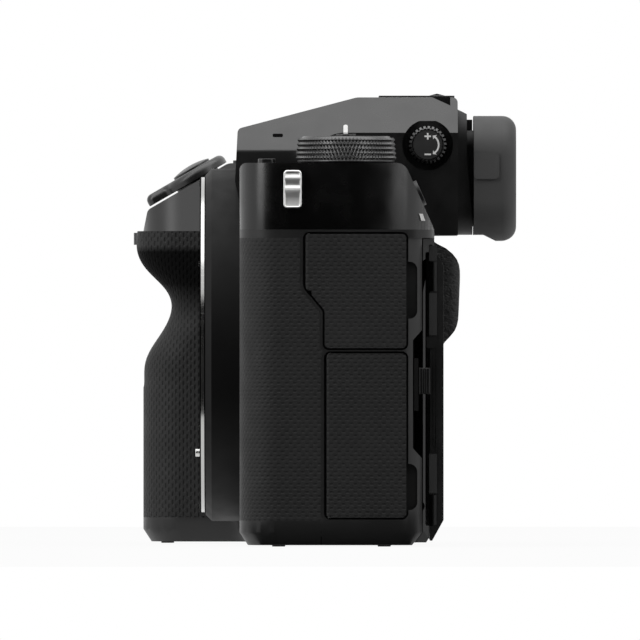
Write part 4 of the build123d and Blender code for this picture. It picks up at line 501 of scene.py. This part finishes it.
def crossScrews():  # screw heads with a cross recess on the seed's points
    tree, given = geoTree("crossScrews", {
        "Radius": "Float", "Height": "Float", "Recess": "Vector", "Facing": "Rotation", "Paint": "Material"})
    head = put(tree, "GeometryNodeMeshCylinder", {
        "Vertices": 32, "Radius": given["Radius"], "Depth": given["Height"]})
    slotA = put(tree, "GeometryNodeMeshCube", {"Size": given["Recess"]})
    lifted = put(tree, "ShaderNodeCombineXYZ", {"Z": given["Height"]})
    raised = put(tree, "GeometryNodeTransform", {
        "Geometry": slotA.outputs["Mesh"], "Translation": lifted.outputs[0]})
    turned = put(tree, "GeometryNodeTransform", {
        "Geometry": raised.outputs[0], "Rotation": (0, 0, math.pi / 2)})
    cross = put(tree, "GeometryNodeJoinGeometry")
    for part in (raised, turned):
        link(tree, part.outputs[0], cross.inputs[0])
    cut = put(tree, "GeometryNodeMeshBoolean", {0: head.outputs["Mesh"]}, operation="DIFFERENCE")
    link(tree, cross.outputs[0], cut.inputs[1])
    heads = put(tree, "GeometryNodeInstanceOnPoints", {
        "Points": given["Geometry"], "Instance": cut.outputs[0], "Rotation": given["Facing"]})
    closeTree(tree, heads.outputs[0], given["Paint"])
    return tree


def arcOfPins():  # domed pins along an arc round the lens axis
    tree, given = geoTree("arcOfPins", {
        "Count": "Int", "Radius": "Float", "From": "Float", "Sweep": "Float", "Thick": "Float",
        "Length": "Float", "Centre": "Vector", "Paint": "Material"})
    arc = put(tree, "GeometryNodeCurveArc", {
        "Radius": given["Radius"], "Start Angle": given["From"], "Sweep Angle": given["Sweep"]})
    spots = put(tree, "GeometryNodeCurveToPoints", {0: arc.outputs[0], "Count": given["Count"]})
    pin = put(tree, "GeometryNodeMeshUVSphere", {"Segments": 16, "Rings": 8, "Radius": 1.0})
    size = put(tree, "ShaderNodeCombineXYZ", {
        "X": given["Thick"], "Y": given["Thick"], "Z": given["Length"]})
    pins = put(tree, "GeometryNodeInstanceOnPoints", {
        "Points": spots.outputs[0], "Instance": pin.outputs["Mesh"], "Scale": size.outputs[0]})
    stood = put(tree, "GeometryNodeTransform", {
        "Geometry": pins.outputs[0], "Rotation": (math.pi / 2, 0, 0), "Translation": given["Centre"]})
    closeTree(tree, stood.outputs[0], given["Paint"])
    return tree


def threadTurns():  # helix of a screw thread round an upright axis
    tree, given = geoTree("threadTurns", {
        "Turns": "Float", "Radius": "Float", "Height": "Float", "Depth": "Float", "Start": "Vector",
        "Paint": "Material"})
    coil = put(tree, "GeometryNodeCurveSpiral", {
        "Resolution": 40, "Rotations": given["Turns"], "Start Radius": given["Radius"],
        "End Radius": given["Radius"], "Height": given["Height"]})
    ridge = put(tree, "GeometryNodeCurvePrimitiveCircle", {"Resolution": 3, "Radius": given["Depth"]})
    body = put(tree, "GeometryNodeCurveToMesh", {
        0: coil.outputs[0], "Profile Curve": ridge.outputs[0], "Fill Caps": True})
    moved = put(tree, "GeometryNodeTransform", {"Geometry": body.outputs[0], "Translation": given["Start"]})
    closeTree(tree, moved.outputs[0], given["Paint"])
    return tree


trees = {make.__name__: make() for make in (ringOfTeeth, rowOfSlats, crossScrews, arcOfPins, threadTurns)}
print("geometry trees built")


# added pieces

def millimetres(*values):
    return tuple(v * mm for v in values)


def placeMesh(name, bm, mats, body):  # finished mesh as a piece that rides on a body
    mesh = bpy.data.meshes.new(name)
    bm.to_mesh(mesh)
    bm.free()
    piece = bpy.data.objects.new(name, mesh)
    bpy.context.scene.collection.objects.link(piece)
    for mat in mats:
        mesh.materials.append(mat)
    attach(piece, body)
    return piece


def bridge(bm, loops, smooth=()):  # walls from each loop of points to the next, smooth at the given places
    for low, high in zip(loops, loops[1:]):
        for i in range(len(low)):
            j = (i + 1) % len(low)
            bm.faces.new((low[i], low[j], high[j], high[i])).smooth = i in smooth


def flatMark(name, patches, thick, mat, body):  # thin painted patches, each a ring of points
    bm = bmesh.new()
    for ring in patches:
        face = bm.faces.new([bm.verts.new(p) for p in ring])
        face.normal_update()
        lift = face.normal * thick
        made = bmesh.ops.extrude_face_region(bm, geom=[face])
        moved = [v for v in made["geom"] if isinstance(v, bmesh.types.BMVert)]
        bmesh.ops.translate(bm, verts=moved, vec=lift)
    bmesh.ops.recalc_face_normals(bm, faces=bm.faces)
    return placeMesh(name, bm, [mat], body)


markLift = 0.02  # millimetres between a mark and the surface that it lies on
rayStart = 0.2  # metres out from the middle of the body
skins = {}


def onPort(node, y, z, lift=markLift):  # point on a node's surface, looked at from the port side
    mesh = nodes[node].data
    if node not in skins:
        faces = [face.vertices for face in mesh.polygons]
        skins[node] = BVHTree.FromPolygons([v.co for v in mesh.vertices], faces)
    spot = skins[node].ray_cast(Vector((rayStart, y * mm, z * mm)), Vector((-1, 0, 0)))[0]
    if spot is None:
        raise SystemExit(node + " has no surface at " + str((y, z)))
    return spot + Vector((lift * mm, 0, 0))


def portPatch(node, rows, lift=markLift, columns=4):  # small quads on the port side, from rows of (z, y, y)
    patches = []
    for foot, head in zip(rows, rows[1:]):
        for i in range(columns):
            ring = []
            for (z, y0, y1), step in ((foot, i), (foot, i + 1), (head, i + 1), (head, i)):
                ring.append(onPort(node, y0 + (y1 - y0) * (step / columns), z, lift))
            patches.append(ring)
    return patches


def pillRows(y0, y1, z0, z1, corner, steps=6):  # rows of an upright pill with rounded ends
    foot = []
    for i in range(steps + 1):
        a = math.pi / 2 * i / steps
        inset = corner * (1 - math.sin(a))
        foot.append((z0 + corner * (1 - math.cos(a)), y0 + inset, y1 - inset))
    wall = [(z0 + corner + (z1 - z0 - 2 * corner) * i / steps, y0, y1) for i in range(1, steps)]
    return foot + wall + [(z0 + z1 - z, a, b) for z, a, b in reversed(foot)]


def lathe(name, profile, centre, mats, body, steps=128):  # turned piece on an upright axis
    bm = bmesh.new()
    x, y = centre
    turns = [2 * math.pi * i / steps for i in range(steps)]
    rings = []
    for radius, height in profile:
        ring = [(x + radius * math.cos(a), y + radius * math.sin(a), height) for a in turns]
        rings.append([bm.verts.new(p) for p in ring])
    bridge(bm, rings, range(steps))
    bm.faces.new(list(reversed(rings[0])))
    bm.faces.new(rings[-1])
    markSharp(bm)
    return placeMesh(name, bm, mats, body)


def cogCap(name, centre, rings, teeth, mats, body, steps=8, land=5):  # toothed cap on an axis along X
    bm = bmesh.new()
    loops = []
    for x, radius, tooth in rings:
        loop = []
        for i in range(teeth * steps):
            a = 2 * math.pi * i / (teeth * steps)
            reach = radius - (tooth if i % steps >= land else 0)
            loop.append(bm.verts.new((x, centre[0] + reach * math.cos(a), centre[1] + reach * math.sin(a))))
        loops.append(loop)
    bridge(bm, loops)
    bm.faces.new(list(reversed(loops[0])))
    bm.faces.new(loops[-1])
    bmesh.ops.recalc_face_normals(bm, faces=bm.faces)
    return placeMesh(name, bm, mats, body)


def repaint(piece, mat, chosen):  # gives the chosen faces a second finish
    mesh = piece.data
    mesh.materials.append(mat)
    last = len(mesh.materials) - 1
    for face in mesh.polygons:
        if chosen(face.center, face.normal):
            face.material_index = last


slimBevels = {"upper_port_door": 0.00004}  # a finer edge, because it turns close to the casing
dressed = {node: softCopy(node, mat, slimBevels.get(node, softened["bevel"]))
           for node, mat in dressing.items()}
# metres, and shares of a face's normal
coverZones = {"side": 0.055, "deckOuter": -0.040, "deckInner": -0.060, "deckFront": -0.0145, "facing": 0.5,
              "leaning": 0.25, "ledge": 0.0862, "hump": 0.0315, "steep": 0.9, "wallFront": -0.016}


def onCoverSide(c, n):
    return (abs(c.x) > coverZones["side"] and abs(n.x) > coverZones["facing"]
            and c.z < coverZones["ledge"])


def onDeckSide(c, n):
    return (coverZones["deckInner"] < c.x < coverZones["deckOuter"] and n.x > coverZones["leaning"]
            and c.y < coverZones["deckFront"])


def onFinderWall(c, n):
    return (abs(c.x) < coverZones["hump"] and abs(n.x) > coverZones["steep"]
            and c.y > coverZones["wallFront"])


repaint(dressed["top_cover"], coverSide, onCoverSide)
repaint(dressed["top_cover"], deckSide, onDeckSide)
repaint(dressed["top_cover"], wallPaint, onFinderWall)
print("nodes dressed")


modeDial = {"foot": 11.0, "wall": 11.1, "shoulder": 10.6, "crown": 9.9, "dish": 9.2, "dishDeep": 0.3,
            "stem": 4.0, "base": 87.65, "rim": 1.0, "hole": 2.45, "holeDeep": 5.8}
dialKnurl = {"studs": 82, "rows": 5, "rowGap": 1.03, "across": 0.41, "tall": 0.53, "proud": 0.42,
             "firstRow": 88.7, "taper": 0.09}
dialLetters = {"words": ["P", "A", "S", "M", "1", "2", "3"], "size": 2.3, "ring": 7.0, "lift": 0.02}
dialCentre = (middle("mode_dial", 0), middle("mode_dial", 1))
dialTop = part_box("mode_dial")[1][2]


def makeModeDial():
    plan = modeDial
    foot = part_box("mode_dial")[0][2]
    base, rim = plan["base"], plan["rim"]
    dish = dialTop - plan["dishDeep"] * mm
    profile = [
        (plan["stem"], foot), (plan["stem"], base * mm), (plan["foot"], base * mm),
        (plan["wall"], (base + rim / 4) * mm), (plan["wall"], (base + rim / 2) * mm),
        (plan["foot"], (base + rim / 2) * mm), (plan["shoulder"], dialTop - rim * mm),
        (plan["crown"], dialTop), (plan["dish"], dialTop), (plan["dish"], dish),
        (plan["hole"], dish), (plan["hole"], dialTop - plan["holeDeep"] * mm)]
    body = lathe("mode_dial_body", [(radius * mm, height) for radius, height in profile], dialCentre,
                 [knurlMetal], "mode_dial")
    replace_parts(body, "mode_dial")


def makeDialKnurl():
    plan = dialKnurl
    grow("mode_dial_knurl", trees["ringOfTeeth"], {
        "Count": plan["studs"], "Rows": plan["rows"], "Radius": modeDial["wall"] * mm,
        "Taper": plan["taper"] * mm, "RowGap": plan["rowGap"] * mm, "Across": plan["across"] * mm,
        "Tall": plan["tall"] * mm, "Proud": plan["proud"] * mm,
        "Centre": (*dialCentre, plan["firstRow"] * mm), "Paint": knurlMetal}, "mode_dial")


def letterMesh(word, size):  # one flat letter about the origin
    curve = bpy.data.curves.new("letter" + word, "FONT")
    curve.body = word
    curve.size = size
    curve.align_x, curve.align_y = "CENTER", "CENTER"
    carrier = bpy.data.objects.new("letter" + word, curve)
    bpy.context.scene.collection.objects.link(carrier)
    bpy.context.view_layer.update()
    flat = bpy.data.meshes.new_from_object(carrier.evaluated_get(bpy.context.evaluated_depsgraph_get()))
    bpy.data.objects.remove(carrier)
    return flat


def makeDialLetters():
    plan = dialLetters
    face = dialTop - (modeDial["dishDeep"] - plan["lift"]) * mm
    ring = plan["ring"] * mm
    bm = bmesh.new()
    for i, word in enumerate(plan["words"]):
        a = 2 * math.pi * i / len(plan["words"])
        spot = Vector((dialCentre[0] + ring * math.sin(a), dialCentre[1] + ring * math.cos(a), face))
        flat = letterMesh(word, plan["size"] * mm)
        flat.transform(Matrix.Translation(spot) @ Matrix.Rotation(-a, 4, "Z"))
        bm.from_mesh(flat)
    placeMesh("mode_dial_letters", bm, [markWhite], "mode_dial")


makeModeDial()
makeDialKnurl()
makeDialLetters()

indexLine = {"y0": 9.5, "y1": 10.5, "z0": 93.9, "z1": 96.4, "corner": 0.42, "thick": 0.05}
micSlot = {"y0": -6.7, "y1": -4.35, "z0": 93.6, "z1": 94.35, "corner": 0.3, "thick": 0.03}
rearMark = {"rows": [(74.3, 27.2, 28.1), (74.8, 27.05, 27.9), (75.4, 26.9, 27.7), (75.9, 26.7, 27.5)],
            "thick": 0.04, "lift": 0.04}


def pillMark(name, plan, mat):  # upright pill on the cover's port side
    rows = pillRows(plan["y0"], plan["y1"], plan["z0"], plan["z1"], plan["corner"])
    flatMark(name, portPatch("top_cover", rows), plan["thick"] * mm, mat, "camera_body")


pillMark("mode_index_line", indexLine, markWhite)
pillMark("mic_slot", micSlot, slotAndShadeBlack)
flatMark("rear_corner_mark", portPatch("top_cover", rearMark["rows"], rearMark["lift"]),
         rearMark["thick"] * mm, markWhite, "camera_body")

diopterCap = {"stem": 1.5, "stemLong": 4.0, "inner": 3.4, "ease": 0.1, "groove": 3.55, "crest": 3.75,
              "rim": 4.3, "chamfer": 0.75, "deep": 0.3, "tooth": 0.4, "teeth": 26}
diopterMarks = {"plusZ": 93.75, "minusZ": 89.6, "arm": 0.75, "stroke": 0.19, "arcY": 29.0, "arcR": 2.3,
                "arcHalf": 50, "arrow": 16, "head": 0.62, "thick": 0.04, "steps": 14}
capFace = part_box("diopter_dial")[1][0]
capCentre = (middle("diopter_dial", 1), middle("diopter_dial", 2))


def onCapRim(c, n):
    return math.hypot(c.y - capCentre[0], c.z - capCentre[1]) > diopterCap["groove"] * mm


def makeDiopterCap():
    plan = diopterCap
    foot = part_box("diopter_dial")[0][0]
    back = foot + plan["stemLong"] * mm
    floorX = capFace - plan["deep"] * mm
    tooth = plan["tooth"] * mm
    cap = cogCap("diopter_cap", capCentre, [
        (foot, plan["stem"] * mm, 0), (back, plan["stem"] * mm, 0), (back, plan["rim"] * mm, tooth),
        (capFace - plan["chamfer"] * mm, plan["rim"] * mm, tooth), (capFace, plan["crest"] * mm, tooth / 2),
        (capFace, plan["groove"] * mm, 0), (floorX, plan["groove"] * mm, 0), (floorX, plan["inner"] * mm, 0),
        (capFace, plan["inner"] * mm - plan["ease"] * mm, 0)], plan["teeth"], [capFinish], "diopter_dial")
    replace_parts(cap, "diopter_dial")
    repaint(cap, knurlMetal, onCapRim)


def onCap(points):  # points on the cap's face, from pairs of (y, z) in millimetres
    return [Vector((capFace, y * mm, z * mm)) for y, z in points]


def bar(y, z, halfY, halfZ):
    corners = ((-1, -1), (1, -1), (1, 1), (-1, 1))
    return onCap([(y + sideY * halfY, z + sideZ * halfZ) for sideY, sideZ in corners])


def onArc(radius, degrees):
    a = math.radians(degrees)
    return diopterMarks["arcY"] + radius * math.cos(a), capCentre[1] / mm + radius * math.sin(a)


def makeDiopterMarks():  # plus, minus and a double arrow
    plan = diopterMarks
    arm, stroke, radius, half = plan["arm"], plan["stroke"], plan["arcR"], plan["arcHalf"]
    y = capCentre[0] / mm
    patches = [bar(y, plan["plusZ"], arm, stroke), bar(y, plan["minusZ"], arm, stroke)]
    for side in (1, -1):
        patches.append(bar(y, plan["plusZ"] + side * (arm + stroke) / 2, stroke, (arm - stroke) / 2))
    arcs = [-half + 2 * half * i / plan["steps"] for i in range(plan["steps"] + 1)]
    for a0, a1 in zip(arcs, arcs[1:]):
        patches.append(onCap([onArc(radius - stroke, a0), onArc(radius + stroke, a0),
                              onArc(radius + stroke, a1), onArc(radius - stroke, a1)]))
    for side in (-1, 1):
        tip = onArc(radius, side * (half + plan["arrow"]))
        head = [tip, onArc(radius + plan["head"], side * half), onArc(radius - plan["head"], side * half)]
        patches.append(onCap(head)[::-side])
    flatMark("diopter_marks", patches, plan["thick"] * mm, markWhite, "diopter_dial")


makeDiopterCap()
makeDiopterMarks()
print("marks and dials made")

contactPins = {"count": 12, "radius": 31.5, "from": -115.0, "sweep": 50.0, "thick": 0.5, "length": 0.5}
flangeScrews = {"count": 6, "first": 30, "ring": 37.0, "radius": 0.9, "height": 0.16,
                "cross": (1.2, 0.28, 0.2)}
baseScrews = {"inset": 4.0, "middle": 18.0, "radius": 1.5, "height": 0.3, "cross": (1.9, 0.45, 0.35)}
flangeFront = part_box("mount_flange")[0][1]


def makeContactPins():
    plan = contactPins
    grow("contact_pins", trees["arcOfPins"], {
        "Count": plan["count"], "Radius": plan["radius"] * mm, "From": math.radians(plan["from"]),
        "Sweep": math.radians(plan["sweep"]), "Thick": plan["thick"] * mm, "Length": plan["length"] * mm,
        "Centre": (0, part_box("lens_contacts")[0][1], lensAxis), "Paint": giltPins}, "camera_body")


def screwHeads(name, plan, spots, facing, mat):
    seed = bpy.data.meshes.new(name + "Spots")
    seed.from_pydata(spots, [], [])
    grow(name, trees["crossScrews"], {
        "Radius": plan["radius"] * mm, "Height": plan["height"] * mm, "Recess": millimetres(*plan["cross"]),
        "Facing": facing, "Paint": mat}, "camera_body", seed)


def flangeSpots():
    plan = flangeScrews
    turns = [math.radians(plan["first"] + 360 / plan["count"] * i) for i in range(plan["count"])]
    ring = plan["ring"] * mm
    return [(ring * math.cos(a), flangeFront, lensAxis + ring * math.sin(a)) for a in turns]


def baseSpots():
    low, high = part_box("base_plate")
    inset, mid = baseScrews["inset"] * mm, baseScrews["middle"] * mm
    return [(x, y, low[2]) for x in (low[0] + inset * 2, -mid, mid, high[0] - inset * 2)
            for y in (low[1] + inset, high[1] - inset)]


makeContactPins()
screwHeads("flange_screws", flangeScrews, flangeSpots(), (math.pi / 2, 0, 0), brightSteel)
screwHeads("base_screws", baseScrews, baseSpots(), (math.pi, 0, 0), controlBlack)

# the dips are (share of the height, millimetres below the face) down the bent plate
strapBow = {"rim": 0.42, "corner": 0.85, "deep": 0.95, "foot": 1.5, "plate": 0.75, "root": 2.6, "ease": 0.16,
            "lap": 0.095, "steps": 4,
            "dips": [(0.03, 0.5), (0.2, 0.55), (0.28, 0.5), (0.42, 0.06), (0.47, 0.0), (0.53, 0.08),
                     (0.6, 0.42), (0.64, 0.42), (0.74, 0.06), (0.79, 0.0), (0.985, 0.8)]}


def roundedLoop(halfY, halfZ, corner, steps):  # closed rounded rectangle about nought, as (y, z) pairs
    loop = []
    for quarter, (sideY, sideZ) in enumerate(((1, 1), (-1, 1), (-1, -1), (1, -1))):
        for i in range(steps + 1):
            a = math.pi / 2 * (quarter + i / steps)
            loop.append((sideY * (halfY - corner) + corner * math.cos(a),
                         sideZ * (halfZ - corner) + corner * math.sin(a)))
    return loop


def plateRows(halfZ):  # (z, depth) down the bow's bent plate, between its dips
    plan = strapBow
    stations = [(-1 + 2 * share, dip) for share, dip in plan["dips"]]
    rows = []
    for (z0, dip0), (z1, dip1) in zip(stations, stations[1:]):
        for i in range(plan["steps"]):
            t = i / plan["steps"]
            rows.append(((z0 + (z1 - z0) * t) * halfZ, dip0 + (dip1 - dip0) * t))
    return rows + [(stations[-1][0] * halfZ, stations[-1][1])]


def addBow(bm, faceX, side):  # a rim with a bent plate across it, on two feet
    plan = strapBow
    low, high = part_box("strap_lugs")
    midY, midZ = middle("strap_lugs", 1), middle("strap_lugs", 2)
    halfY, halfZ = (high[1] - low[1]) / 2, (high[2] - low[2]) / 2
    ease, rim, deep = plan["ease"], plan["rim"], plan["deep"]
    inner = halfY - (rim - ease / 2) * mm

    def at(depth, y, z):
        return bm.verts.new((faceX - side * depth * mm, midY + y, midZ + z))

    loops = []
    for inset, depth in ((0, deep), (0, ease), (ease, 0), (rim - ease, 0), (rim, ease), (rim, deep)):
        corner = (plan["corner"] - inset) * mm
        ring = roundedLoop(halfY - inset * mm, halfZ - inset * mm, corner, plan["steps"])
        loops.append([at(depth, y, z) for y, z in ring])
    bridge(bm, loops + loops[:1], range(len(loops[0])))
    strips = []
    for z, dip in plateRows(halfZ):
        back = dip + plan["plate"]
        strips.append([at(dip, -inner, z), at(dip, inner, z), at(back, inner, z), at(back, -inner, z)])
    bridge(bm, strips, (0,))
    bm.faces.new(strips[0])
    bm.faces.new(strips[-1])
    for end in (-1, 1):
        z0, z1 = sorted((end * (halfZ - rim * mm / 2), end * (halfZ - plan["foot"] * mm)))
        feet = [[at(depth, y, z) for y, z in ((-inner, z0), (inner, z0), (inner, z1), (-inner, z1))]
                for depth in (deep - plan["lap"], plan["root"])]
        bm.faces.new(feet[0])
        bm.faces.new(feet[1])
        bridge(bm, feet)


def makeStrapBows():
    low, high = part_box("strap_lugs")
    bm = bmesh.new()
    addBow(bm, high[0], 1)
    addBow(bm, low[0], -1)
    bmesh.ops.recalc_face_normals(bm, faces=bm.faces)
    markSharp(bm)
    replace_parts(placeMesh("strap_bows", bm, [bowSteel], "camera_body"), "strap_lugs")


makeStrapBows()

baseSeam = {"rows": [(0.5, 4.35, 4.5), (3.4, 4.35, 4.5), (6.2, 4.35, 4.5)], "thick": 0.02}
flatMark("base_seam", portPatch("front_casing", baseSeam["rows"], columns=1), baseSeam["thick"] * mm,
         slotAndShadeBlack, "camera_body")

# mount ring bands in millimetres: the steel stays bright only between bevel and seam, and beyond the rim the
# rest is painted shade; then the barrel's radii and the body's front
flangeEdge = {"bevel": 0.3, "seam": 1.05, "rim": 38.2, "barrel": (30.0, 43.0), "bodyFront": -14.7}
seams = [flangeFront + flangeEdge[key] * mm for key in ("bevel", "seam")]


def splitAt(piece, y):  # cuts the piece's faces along a plane across the lens axis
    bm = bmesh.new()
    bm.from_mesh(piece.data)
    bmesh.ops.bisect_plane(bm, geom=bm.verts[:] + bm.edges[:] + bm.faces[:], plane_co=(0, y, 0),
                           plane_no=(0, 1, 0))
    bm.to_mesh(piece.data)
    bm.free()


def fromAxis(c):  # millimetres from the lens axis
    return math.hypot(c.x, c.z - lensAxis) / mm


def onPaintedFlangeShade(c, n):
    return fromAxis(c) > flangeEdge["rim"] and not seams[0] < c.y < seams[1]


def onBarrel(c, n):
    inner, outer = flangeEdge["barrel"]
    return inner < fromAxis(c) < outer and c.y < flangeEdge["bodyFront"] * mm


# the seams split the mount ring so that its front chamfer and its outer rim behind the bright band take
# painted shade
for y in seams:
    splitAt(dressed["mount_flange"], y)
repaint(dressed["mount_flange"], slotAndShadeBlack, onPaintedFlangeShade)
repaint(dressed["front_casing"], barrelPaint, onBarrel)
print("mount and strap bows made")

tripodThread = {"turns": 4.6, "pitch": 1.27, "radius": 3.1, "depth": 0.42}
sliderRibs = {"count": 5, "gap": 0.5, "wide": 0.22, "proud": 0.25, "margin": 0.5}


def makeTripodThread():
    plan = tripodThread
    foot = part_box("tripod_socket")[0][2]
    grow("tripod_thread", trees["threadTurns"], {
        "Turns": plan["turns"], "Radius": plan["radius"] * mm, "Height": plan["turns"] * plan["pitch"] * mm,
        "Depth": plan["depth"] * mm, "Start": (0, 0, foot + plan["depth"] * mm), "Paint": brightSteel},
        "camera_body")


def makeSliderRibs():
    plan = sliderRibs
    low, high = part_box("monitor_release_slider")
    gap = plan["gap"] * mm
    first = middle("monitor_release_slider", 1) - gap * (plan["count"] - 1) / 2
    grow("slider_ribs", trees["rowOfSlats"], {
        "Count": plan["count"], "Step": (0, gap, 0),
        "Size": (plan["proud"] * mm, plan["wide"] * mm, high[2] - low[2] - plan["margin"] * mm),
        "Start": (high[0], first, middle("monitor_release_slider", 2)), "Paint": keyPlastic},
        "monitor_release_slider")


makeTripodThread()
makeSliderRibs()

# pads on the monitor's port side, each (y, y, z, z) in millimetres
monitorTrim = {"thick": 0.25, "sunk": 0.05,
               "pale": [(29.0, 30.8, 48.2, 57.9), (29.0, 30.8, 12.2, 21.2), (29.0, 30.8, 65.2, 68.6),
                        (30.2, 30.8, 58.2, 65.0), (30.1, 30.7, 5.0, 11.8)],
               "mid": [(28.4, 30.8, 45.3, 47.9), (30.0, 30.35, 23.0, 45.0), (30.6, 30.9, 21.5, 45.0)],
               "dark": [(29.0, 29.9, 58.3, 64.9), (29.0, 29.8, 4.8, 11.9)]}
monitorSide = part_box("monitor_housing")[1][0]


def trimPad(y0, y1, z0, z1):
    return [Vector((monitorSide, y * mm, z * mm)) for y, z in ((y0, z0), (y1, z0), (y1, z1), (y0, z1))]


for label, mat, thick in (("pale", trimGrey, "thick"), ("mid", panelPlastic, "thick"),
                          ("dark", slotAndShadeBlack, "sunk")):
    pads = [trimPad(*pad) for pad in monitorTrim[label]]
    flatMark("monitor_trim_" + label, pads, monitorTrim[thick] * mm, mat, "monitor")
print("fasteners and trim made")


# stage, light and camera

stageSizes = {"floor": 1.2, "grey": 0.6, "drop": 0.00002, "shadow": 0.06, "room": 0.05,
              "target": (0, 0, 0.05)}
# the dark card's near edge reaches under the object, where in reflections it stands for the shadow on the
# floor
darkCard = {"near": 0.0600, "far": 0.9, "halfNear": 0.08, "half": 0.85, "top": 0.62, "lift": 0.0005}
lightPlan = [
    {"name": "frontSoftbox", "at": (0.985, -1.26, 0.85), "size": (0.8, 1.4), "power": 10},
    {"name": "rearSoftbox", "at": (0.985, 1.26, 0.85), "size": (0.6, 1.4), "power": 3.8},
    {"name": "topSoftbox", "at": (0.1, 0.0, 1.9), "size": (2.8, 2.0), "power": 34},
]
cameraPlan = {"distance": 6.8, "centre": (0.0, 0.00414, 0.0517), "half": 0.07355, "clipEnd": 50}


def stageSheet(name, points, faces, mat):  # flat piece of the stage
    mesh = bpy.data.meshes.new(name)
    mesh.from_pydata(points, [], faces)
    mesh.materials.append(mat)
    sheet = bpy.data.objects.new(name, mesh)
    bpy.context.scene.collection.objects.link(sheet)
    return sheet


def seenWhite(tree):  # one where a camera, glossy or clear ray looks
    path = tree.nodes.new("ShaderNodeLightPath")
    seen = mathNode(tree, "MAXIMUM", path.outputs["Is Camera Ray"], path.outputs["Is Glossy Ray"])
    return mathNode(tree, "MAXIMUM", seen, path.outputs["Is Transmission Ray"])


def mixShaders(tree, factor, first, second):
    n = tree.nodes.new("ShaderNodeMixShader")
    if isinstance(factor, float):
        n.inputs[0].default_value = factor
    else:
        link(tree, factor, n.inputs[0])
    link(tree, first, n.inputs[1])
    link(tree, second, n.inputs[2])
    return n.outputs[0]


def makeFloor():
    mat, tree = newTree("paleFloor")
    out = tree.nodes.new("ShaderNodeOutputMaterial")
    plain = tree.nodes.new("ShaderNodeBsdfDiffuse")
    plain.inputs["Color"].default_value = (*grey(stageSizes["grey"]), 1)
    glow = tree.nodes.new("ShaderNodeEmission")
    lit = mixShaders(tree, stageSizes["shadow"], glow.outputs[0], plain.outputs[0])
    link(tree, mixShaders(tree, seenWhite(tree), plain.outputs[0], lit), out.inputs["Surface"])
    half = stageSizes["floor"] / 2
    corners = [(-half, -half, 0), (half, -half, 0), (half, half, 0), (-half, half, 0)]
    stageSheet("floor_sheet", corners, [(0, 1, 2, 3)], mat).location.z = -stageSizes["drop"]


def makeDarkCard():  # bent card that only the paint's gloss sees, as the dark side of a studio; its part under the object's edge is painted shade standing for the shadow on the floor in reflections
    plan = darkCard
    rows = ((plan["near"], plan["halfNear"], plan["lift"]), (plan["far"], plan["half"], plan["lift"]),
            (plan["far"], plan["half"], plan["top"]))
    corners = [(x, side * half, z) for x, half, z in rows for side in (-1, 1)]
    card = stageSheet("dark_card", corners, [(0, 2, 3, 1), (2, 4, 5, 3)], innerBlack)
    card.visible_camera = False
    card.visible_diffuse = False
    card.visible_shadow = False
    card.visible_transmission = False


def makeWorld():
    world = bpy.data.worlds.new("dimRoom")
    bpy.context.scene.world = world
    world.use_nodes = True
    tree = world.node_tree
    back = tree.nodes["Background"]
    link(tree, mapRange(tree, seenWhite(tree), 0, 1, stageSizes["room"], 1.0), back.inputs["Strength"])
    back.inputs["Color"].default_value = (1, 1, 1, 1)


def makeLamp(name, at, size, power):
    lamp = bpy.data.lights.new(name, "AREA")
    lamp.shape = "RECTANGLE"
    lamp.size, lamp.size_y = size
    lamp.energy = power
    obj = bpy.data.objects.new(name, lamp)
    bpy.context.scene.collection.objects.link(obj)
    obj.location = at
    aim = Vector(stageSizes["target"]) - Vector(at)
    obj.rotation_euler = aim.to_track_quat("-Z", "Y").to_euler()


def makeCamera():  # looks at the port side, level, as the photograph does
    plan = cameraPlan
    lens = bpy.data.cameras.new("sideCamera")
    lens.angle = 2 * math.atan(plan["half"] / plan["distance"])
    lens.clip_end = plan["clipEnd"]
    camera = bpy.data.objects.new("side_camera", lens)
    bpy.context.scene.collection.objects.link(camera)
    camera.location = Vector(plan["centre"]) + Vector((plan["distance"], 0, 0))
    camera.rotation_euler = (math.pi / 2, 0, math.pi / 2)
    bpy.context.scene.camera = camera


makeFloor()
makeDarkCard()
makeWorld()
for plan in lightPlan:
    makeLamp(**plan)
makeCamera()
bpy.context.scene.view_settings.view_transform = "Standard"
print("stage set")
